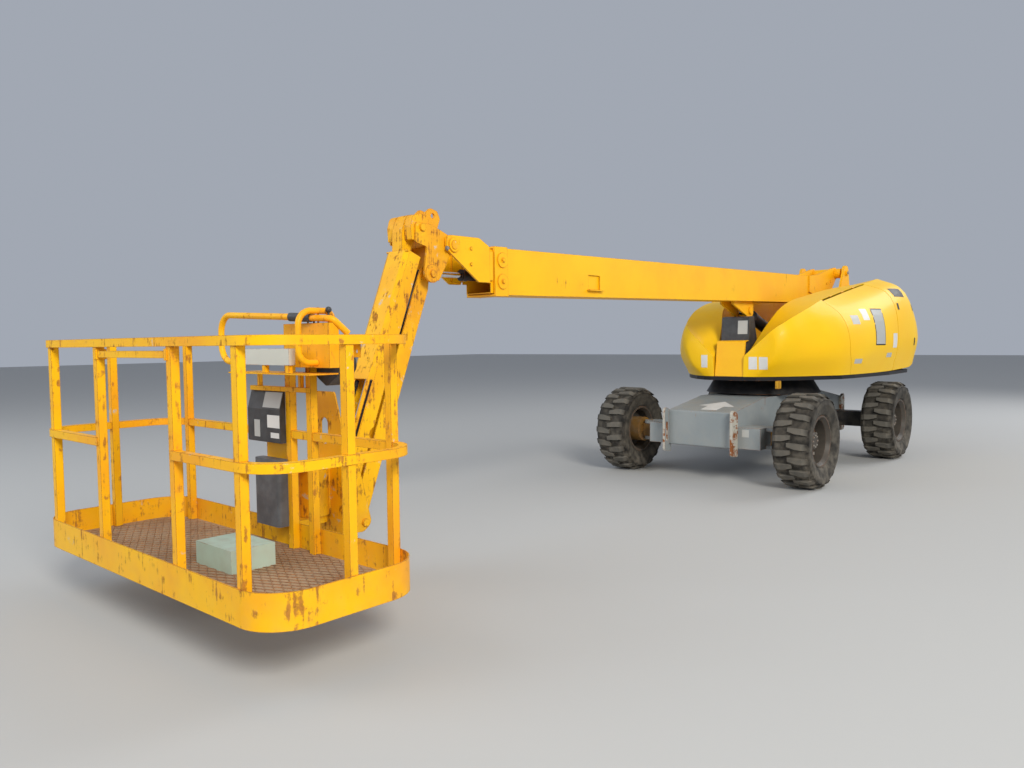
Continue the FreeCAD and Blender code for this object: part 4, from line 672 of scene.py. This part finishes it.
def hood_out(v, x):
    e, f = 0.004, 0.02
    v0, v1 = max(v - f, 0 if v <= 1 else 1 if v <= 2 else 2), min(v + f, 5)
    x0, x1 = max(x - e, stations[0]), min(x + e, stations[-1])
    way = (hood_place(v, x1) - hood_place(v, x0)).cross(hood_place(v1, x) - hood_place(v0, x))
    return way.normalized()


# %% Hood shells
def seam_at(v):
    i = min(int(v), 4)
    return SEAM[i] + (SEAM[i + 1] - SEAM[i]) * (v - i)


def across(first, last):
    """Steps across the hood, finer where it curves."""
    stops = [first] + [k for k in range(1, 6) if first < k < last] + [last]
    result = []
    for a, b in zip(stops, stops[1:]):
        n = 6 if a >= 2 else 2
        result += [a + (b - a) * i / n for i in range(n)]
    return result + [last]


def along(start, finish, vs, step=0.05):
    """Rows of (v, x) between two seams, each given as a function of v, through the drawing's sections."""
    first, last = start(max(vs[0], 2)), finish(max(vs[0], 2))
    marks = [first] + [x for x in stations[::-1] if last + 0.012 < x < first - 0.012] + [last]
    places = []
    for a, b in zip(marks, marks[1:]):
        n = 6 if a > 0.81 else max(1, math.ceil((a - b) / step))
        places += [a + (b - a) * i / n for i in range(n)]
    shares = [(first - x) / (first - last) for x in places + [last]]
    return [[(round(v, 4), round(start(v) + (finish(v) - start(v)) * t, 5)) for v in vs] for t in shares]


def hood_shell(name, patches, side, body, caps=()):
    """A closed thin shell over patches of (v, x) rows, with walls along its free edges."""
    bm = bmesh.new()
    outer, inner = {}, {}

    def corner(key, shift=0.0):
        if key not in outer:
            p = hood_place(*key)
            q = p - hood_out(*key) * HOOD_WALL
            if key[0] in (0, 5):
                q.z = max(q.z, p.z)
            q.x += shift
            outer[key] = bm.verts.new((p.x - MIDDLE, side * p.y, p.z))
            inner[key] = bm.verts.new((q.x - MIDDLE, side * q.y, q.z))
        return key

    for row, shift in caps:
        for key in row:
            corner(key, shift)
    loops = []
    for patch in patches:
        for one, two in zip(patch, patch[1:]):
            for i in range(len(one) - 1):
                loops.append([corner(one[i]), corner(two[i]), corner(two[i + 1]), corner(one[i + 1])])
    for row, shift in caps:
        loops.append(list(row) if shift < 0 else list(row)[::-1])
    counts = {}
    for loop in loops:
        for a, b in zip(loop, loop[1:] + loop[:1]):
            counts[frozenset((a, b))] = counts.get(frozenset((a, b)), 0) + 1
    for loop in loops:
        bm.faces.new([outer[k] for k in loop])
        bm.faces.new([inner[k] for k in loop[::-1]])
    for loop in loops:
        for a, b in zip(loop, loop[1:] + loop[:1]):
            if counts[frozenset((a, b))] == 1:
                bm.faces.new([outer[b], outer[a], inner[a], inner[b]])
    bmesh.ops.recalc_face_normals(bm, faces=bm.faces)
    crisp = {frozenset((outer[a], outer[b])) for loop in loops for a, b in zip(loop, loop[1:] + loop[:1])
             if a[0] == b[0] and a[0] in (1, 2)}
    for face in bm.faces:
        face.smooth = True
    for edge in bm.edges:
        sharp = len(edge.link_faces) == 2 and edge.calc_face_angle(0) > math.radians(42)
        edge.smooth = not (sharp or frozenset(edge.verts) in crisp)
    mesh = bpy.data.meshes.new(name)
    bm.to_mesh(mesh)
    bm.free()
    mesh.materials.append(materials["yellow_hood"])
    made = bpy.data.objects.new(name, mesh)
    bpy.context.scene.collection.objects.link(made)
    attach(made, body)
    return made


tip, tail = stations[-1], stations[0]
for hand, side in SIDES.items():
    whole, strip, flank = across(0, 5), across(0, 2), across(DOOR_LINE, 5)
    ahead = along(lambda v: tip, seam_at, whole)
    behind = along(seam_at, lambda v: DOOR_REAR, strip)
    nose = hood_shell("nose_skin_" + hand, [ahead, behind], side, "turret", [(ahead[0], -HOOD_WALL)])
    door = hood_shell("door_skin_" + hand, [along(lambda v: seam_at(v) - HOOD_GAP,
                                                  lambda v: DOOR_REAR + HOOD_GAP, flank)], side, "door_" + hand)
    rear = along(lambda v: DOOR_REAR - HOOD_GAP, lambda v: tail, whole)
    back = hood_shell("tail_skin_" + hand, [rear], side, "turret", [(rear[-1], HOOD_WALL)])
    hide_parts("hood_noses")
    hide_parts("door_" + hand)
    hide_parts("tail_cowl")
    print(hand, "hood faces", len(nose.data.polygons), len(door.data.polygons), len(back.data.polygons))


# %% Tail wall and hinges
def box_piece(name, low, high, finish, body, bevel=0.002):
    """A block with small worn corners."""
    def build(bm):
        bmesh.ops.create_cube(bm, size=1.0)
        for v in bm.verts:
            v.co = Vector([(a + b) / 2 + c * (b - a) for a, b, c in zip(low, high, v.co)])
        bmesh.ops.bevel(bm, geom=bm.edges[:], offset=bevel, segments=2, affect="EDGES")
    return mesh_piece(name, build, finish, body)


def rod_between(bm, start, end, radius, sides=16):
    run = Vector(end) - Vector(start)
    turn = facing(run, (Vector(start) + Vector(end)) / 2)
    bmesh.ops.create_cone(bm, cap_ends=True, segments=sides, radius1=radius, radius2=radius, depth=run.length,
                          matrix=turn)


wall = box_piece("tail_wall", at(-2.280, -0.353, 1.130), at(-2.272, 0.353, 1.618), "yellow_hood", "turret", 0.001)
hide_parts("tail_cowl")
slope = math.radians(9.816)
axis = Vector((math.cos(slope), 0, -math.sin(slope)))
for hand, side in SIDES.items():
    middle = at(-0.500, side * 0.668, 1.863)
    for k, step in enumerate((-0.350, 0.0, 0.350)):
        here = middle + axis * step
        pin_bar = mesh_piece("hinge_pin_%s_%d" % (hand, k),
                             lambda bm: rod_between(bm, here - axis * 0.045, here + axis * 0.045, 0.0045),
                             "yellow_steel", "turret")
        sleeve = mesh_piece("hinge_sleeve_%s_%d" % (hand, k),
                            lambda bm: rod_between(bm, here - axis * 0.033, here + axis * 0.033, 0.0068),
                            "yellow_steel", "door_" + hand)
        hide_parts("hood_noses")
        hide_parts("door_" + hand)

# %% Blank plates that lie on a node's surface
trees_of = {}
SKINS = {"hood_noses": ("nose_skin_left", "nose_skin_right"), "door_left": ("door_skin_left",),
         "door_right": ("door_skin_right",), "tail_cowl": ("tail_skin_left", "tail_skin_right")}


def surface_of(node):
    if node not in trees_of:
        points, faces = [], []
        for made in [bpy.data.objects[n] for n in SKINS[node]] if node in SKINS else [nodes[node]]:
            first = len(points)
            points += [v.co.copy() for v in made.data.vertices]
            faces += [tuple(first + i for i in p.vertices) for p in made.data.polygons]
        trees_of[node] = BVHTree.FromPolygons(points, faces)
    return trees_of[node]


def laid(bm, node, centre, way, width, height, lift, thick, cells=6):
    """A thin closed sheet, pressed against a node's surface from outside."""
    way = Vector(way).normalized()
    sideways = Vector((0, 0, 1)).cross(way).normalized()
    up = way.cross(sideways)
    skin = surface_of(node)
    layers = []
    for level in (lift, lift + thick):
        grid = []
        for i in range(cells + 1):
            row = []
            for j in range(cells + 1):
                place = Vector(centre) + sideways * width * (i / cells - 0.5) + up * height * (j / cells - 0.5)
                hit = skin.ray_cast(place + way * 0.3, -way, 0.6)[0]
                row.append(bm.verts.new((hit if hit else place) + way * level))
            grid.append(row)
        layers.append(grid)
    for low, grid in enumerate(layers):
        for i in range(cells):
            for j in range(cells):
                bm.faces.new([grid[i][j], grid[i + 1][j], grid[i + 1][j + 1], grid[i][j + 1]][::1 if low else -1])
    ring = [(i, 0) for i in range(cells)] + [(cells, j) for j in range(cells)]
    ring += [(i, cells) for i in range(cells, 0, -1)] + [(0, j) for j in range(cells, 0, -1)]
    for (a, b), (c, d) in zip(ring, ring[1:] + ring[:1]):
        bm.faces.new([layers[0][a][b], layers[0][c][d], layers[1][c][d], layers[1][a][b]])


PLATES = (
    # name, node, body, centre in the frame, way it faces, width, height, finish
    ("nose_plate_a", "hood_noses", "turret", (-1.446, 0.262, 1.122), (1.0, 0.1, 0.0), 0.085, 0.125, "blank_plate"),
    ("nose_plate_b", "hood_noses", "turret", (-1.470, 0.360, 1.122), (1.0, 0.35, -0.1), 0.085, 0.125, "blank_plate"),
    ("nose_plate_c", "hood_noses", "turret", (-1.446, -0.270, 1.138), (1.0, -0.15, 0.0), 0.075, 0.130, "blank_plate"),
    ("cowl_plate", "cowl", "turret", (-1.572, 0.082, 1.490), (0.97, 0.0, 0.26), 0.105, 0.135, "grey_plate"),
    ("door_plate_a", "door_left", "door_left", (-2.430, 0.900, 1.545), (0.1, 0.97, 0.2), 0.150, 0.100, "grey_plate"),
    ("door_plate_b", "door_left", "door_left", (-2.665, 0.915, 1.603), (0.1, 0.97, 0.2), 0.130, 0.130, "blank_plate"),
    ("door_sign_frame", "door_left", "door_left", (-2.945, 0.970, 1.475), (0.09, 0.97, 0.15), 0.260, 0.400,
     "black_plate"),
    ("door_label_a", "door_left", "door_left", (-2.444, 0.946, 1.123), (0.1, 0.97, -0.2), 0.160, 0.050, "grey_plate"),
    ("door_label_b", "door_left", "door_left", (-3.230, 1.017, 1.172), (0.04, 0.98, -0.17), 0.150, 0.050,
     "grey_plate"),
    ("door_label_c", "door_left", "door_left", (-3.370, 1.040, 1.330), (0.04, 0.98, -0.1), 0.130, 0.160,
     "blank_plate"),
    ("box_plate_a", "document_box", "basket", (3.838, 0.044, 1.075), (1.0, 0.0, 0.0), 0.160, 0.080, "grey_plate"),
    ("box_plate_b", "document_box", "basket", (3.838, 0.068, 0.964), (1.0, 0.0, 0.0), 0.114, 0.066, "blank_plate"),
    ("box_plate_c", "document_box", "basket", (3.838, 0.080, 0.892), (1.0, 0.0, 0.0), 0.078, 0.028, "blank_plate"),
    ("box_plate_d", "document_box", "basket", (3.838, -0.088, 0.922), (1.0, 0.0, 0.0), 0.054, 0.090, "grey_plate"),
    ("axle_plate", "front_axle", "chassis", (-0.895, 0.444, 0.480), (1.0, 0.0, 0.0), 0.070, 0.070, "grey_plate"),
)
for name, node, body, centre, way, width, height, finish in PLATES:
    mesh_piece(name, lambda bm: laid(bm, node, centre, way, width, height, 0.0004, 0.0010), finish, body)
mesh_piece("door_sign", lambda bm: laid(bm, "door_left", (-2.945, 0.970, 1.475), (0.09, 0.97, 0.15), 0.235, 0.375,
                                        0.0016, 0.0008), "grey_plate", "door_left")

# %% Vents in the tail: black sheets as painted shade inside the openings
VENT_SHADES = (
    # name, side, centre, width, height
    ("tail_grille", (-3.720, 0.905, 1.865), 0.300, 0.110),
    ("tail_slot_a", (-3.560, 0.960, 1.700), 0.045, 0.075),
    ("tail_slot_b", (-4.120, 0.960, 1.700), 0.045, 0.075),
    ("tail_slot_c", (-4.110, 1.040, 1.310), 0.045, 0.085),
)
# black sheets pressed onto the tail skin: painted shade standing in for the vent openings
for hand, side in SIDES.items():
    for name, (x, y, z), width, height in VENT_SHADES:
        mesh_piece(name + "_" + hand, lambda bm: laid(bm, "tail_cowl", (x, side * y, z), (0.04, side * 0.97, 0.22),
                                                      width, height, 0.0018, 0.0010, 10), "black_plate", "turret")

# %% Arrow on the chassis, and the slew lock's block
ARROW = (
    # x and y in the frame: tip, then round by the near side, the tail and the far side
    (-1.274, 0.050), (-1.088, -0.135), (-1.075, -0.037), (-0.923, -0.035), (-0.923, 0.130), (-1.075, 0.135),
    (-1.088, 0.235),
)


def arrow(bm):
    """A thin pointed sheet, laid on the chassis from above."""
    deck = surface_of("chassis_frame")
    for lift in (0.0005, 0.0016):
        for x, y in ARROW:
            hit = deck.ray_cast(Vector((x, y, 1.0)), Vector((0, 0, -1)), 0.8)[0]
            bm.verts.new(hit + Vector((0, 0, lift)))
    bm.verts.ensure_lookup_table()
    low, high = bm.verts[:len(ARROW)], bm.verts[len(ARROW):]
    bm.faces.new(low[::-1])
    bm.faces.new(high)
    for i, j in zip(range(len(ARROW)), [*range(1, len(ARROW)), 0]):
        bm.faces.new([low[i], low[j], high[j], high[i]])
    bmesh.ops.triangulate(bm, faces=[f for f in bm.faces if len(f.verts) > 4])


mesh_piece("chassis_arrow", arrow, "blank_plate", "chassis")
box_piece("slew_lock_block", (-1.640, 0.430, 0.862), (-1.588, 0.474, 0.944), "yellow_pin", "turret", 0.004)

# %% Wheel nuts, hub bolts and sidewall ribs
NUT_RING, NUTS = 0.143, 9
WHEELS = {"front_left": (1, 1), "front_right": (1, -1), "rear_left": (-1, 1), "rear_right": (-1, -1)}


def turned(bm, profile, centre, side, steps=72):
    """A closed ring from (radius, out) points, turned about the wheel's axis."""
    rings = []
    for k in range(steps):
        a = 2 * math.pi * k / steps
        rings.append([bm.verts.new(centre + Vector((r * math.cos(a), side * out, r * math.sin(a))))
                      for r, out in profile])
    for one, two in zip(rings, rings[1:] + rings[:1]):
        for i in range(len(profile)):
            j = (i + 1) % len(profile)
            bm.faces.new([one[i], one[j], two[j], two[i]])


for name, (fore, side) in WHEELS.items():
    body = "wheel_" + name
    centre = at(fore * WHEEL_X, side * WHEEL_Y, WHEEL_Z)
    ring = [centre + Vector((NUT_RING * math.cos(a), side * 0.0195, NUT_RING * math.sin(a)))
            for a in (2 * math.pi * k / NUTS for k in range(NUTS))]
    bolts("wheel_nuts_" + name, ring, (0, side, 0), body, 0.016, 0.020)
    inner = [centre + Vector((0.052 * math.cos(a), side * 0.080, 0.052 * math.sin(a)))
             for a in (2 * math.pi * k / 8 for k in range(8))]
    bolts("hub_bolts_" + name, inner, (0, side, 0), body, 0.007, 0.006)
    for label, low, out in (("rib_a", 0.262, 0.1435), ("rib_b", 0.312, 0.1585)):
        for face in (1, -1):
            profile = [(low, out - 0.004), (low + 0.004, out + 0.003), (low + 0.010, out + 0.004),
                       (low + 0.016, out - 0.002)]
            mesh_piece("%s_%s_%s" % (label, name, "outer" if face > 0 else "inner"),
                       lambda bm: turned(bm, profile, centre, side * face), "tyre_rubber", body)

# %% Bolts on the boom, the turret and the basket
for hand, side in SIDES.items():
    bolts("collar_bolts_" + hand, [at(4.395, side * 0.141, z) for z in (1.908, 1.766)], (0, side, 0), "boom",
          0.014, 0.010, "yellow_steel")
    bolts("doubler_bolts_" + hand, [at(4.70, side * 0.142, z) for z in (1.86, 1.96)], (0, side, 0), "fly_boom",
          0.010, 0.006, "yellow_steel")
    bolts("keeper_bolt_" + hand, [at(4.912, side * 0.142, 1.946)], (0, side, 0), "fly_boom", 0.011, 0.009)
    bolts("ear_bolts_" + hand, [at(-1.62, side * 0.141, 2.06), at(-1.50, side * 0.141, 2.03)], (0, side, 0), "boom",
          0.012, 0.008, "yellow_steel")
    bolts("pin_bolts_" + hand, [at(-1.785, side * 0.295, 2.165)], (0, side, 0), "turret", 0.016, 0.010)
bolts("mount_bolts", [at(6.0147, y, z) + Vector((-0.0137, 0, 0)) for y in (-0.10, 0.10) for z in (0.36, 0.88)],
      (-1, 0, 0), "basket", 0.014, 0.010)

# %% Weld beads
COLLAR_X = 4.342
runs = [[at(COLLAR_X, side * 0.1255, z) for z in (1.990, 1.667)] for side in (1, -1)]
weld("collar_welds", runs, "boom", 0.004)

# %% Floor mesh over its sheet
low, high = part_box("basket_floor")
LONG, SHORT, CORNER = 0.042, 0.021, 0.2
places = []
rows = int((high.x - low.x) / (2 * SHORT))
columns = int((high.y - low.y) / (2 * LONG))
for i in range(rows * 2 + 1):
    for j in range(columns):
        x = low.x + SHORT * (i + 1)
        y = low.y + LONG * (2 * j + 1 + i % 2)
        dx = max(low.x + CORNER - x, x - high.x + CORNER, 0.0)
        dy = max(low.y + CORNER - y, y - high.y + CORNER, 0.0)
        inside = low.x + SHORT < x < high.x - SHORT and low.y + LONG < y < high.y - LONG
        if inside and math.hypot(dx, dy) < CORNER - 0.04:
            places.append((x, y, high.z + 0.0012))
mesh_floor = grow(mesh_tree, "floor_strands", places, [],
                  {"Long": LONG, "Short": SHORT, "Strand": 0.0028, "Finish": materials["mesh_floor"]})
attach(mesh_floor, "basket")
print("floor diamonds", len(places), "faces", len(mesh_floor.data.polygons))


# %% [markdown]
# ## Floor, light and camera

# %% Floor
mesh = bpy.data.meshes.new("floor")
size = 60.0
mesh.from_pydata([(-size, -size, 0), (size, -size, 0), (size, size, 0), (-size, size, 0)], [], [(0, 1, 2, 3)])
floor = bpy.data.objects.new("floor", mesh)
bpy.context.scene.collection.objects.link(floor)
material, tree, surface = shader("pale_floor", 0.9, specular=0.1)
surface.inputs["Base Color"].default_value = (0.48, 0.48, 0.47, 1.0)
mesh.materials.append(material)

# %% Light
world = bpy.data.worlds.new("studio")
bpy.context.scene.world = world
world.use_nodes = True
world.node_tree.nodes["Background"].inputs["Color"].default_value = (0.80, 0.87, 1.0, 1.0)
world.node_tree.nodes["Background"].inputs["Strength"].default_value = 0.45


def area_light(name, place, target, size, power, color):
    data = bpy.data.lights.new(name, "AREA")
    data.energy = power
    data.size = size
    data.color = color
    lamp = bpy.data.objects.new(name, data)
    lamp.location = place
    lamp.rotation_euler = (Vector(target) - Vector(place)).to_track_quat("-Z", "Y").to_euler()
    bpy.context.scene.collection.objects.link(lamp)


area_light("key", (9.0, 13.0, 9.0), (0.0, 0.0, 1.0), 5.0, 2450.0, (1.0, 0.96, 0.88))
area_light("fill", (12.0, -7.0, 7.0), (0.0, 0.0, 1.0), 9.0, 700.0, (0.9, 0.95, 1.0))
area_light("rear", (-11.0, 5.0, 8.0), (0.0, 0.0, 1.2), 7.0, 700.0, (1.0, 1.0, 1.0))

# %% Camera
camera_data = bpy.data.cameras.new("camera")
camera_data.sensor_width = 36.0
camera_data.lens = 27.891
camera = bpy.data.objects.new("camera", camera_data)
camera.location = (6.0837, 3.7121, 1.3624)
camera.rotation_euler = [math.radians(a) for a in (86.9611, 0.6653, 131.4913)]
bpy.context.scene.collection.objects.link(camera)
bpy.context.scene.camera = camera
bpy.context.scene.view_settings.view_transform = "Standard"
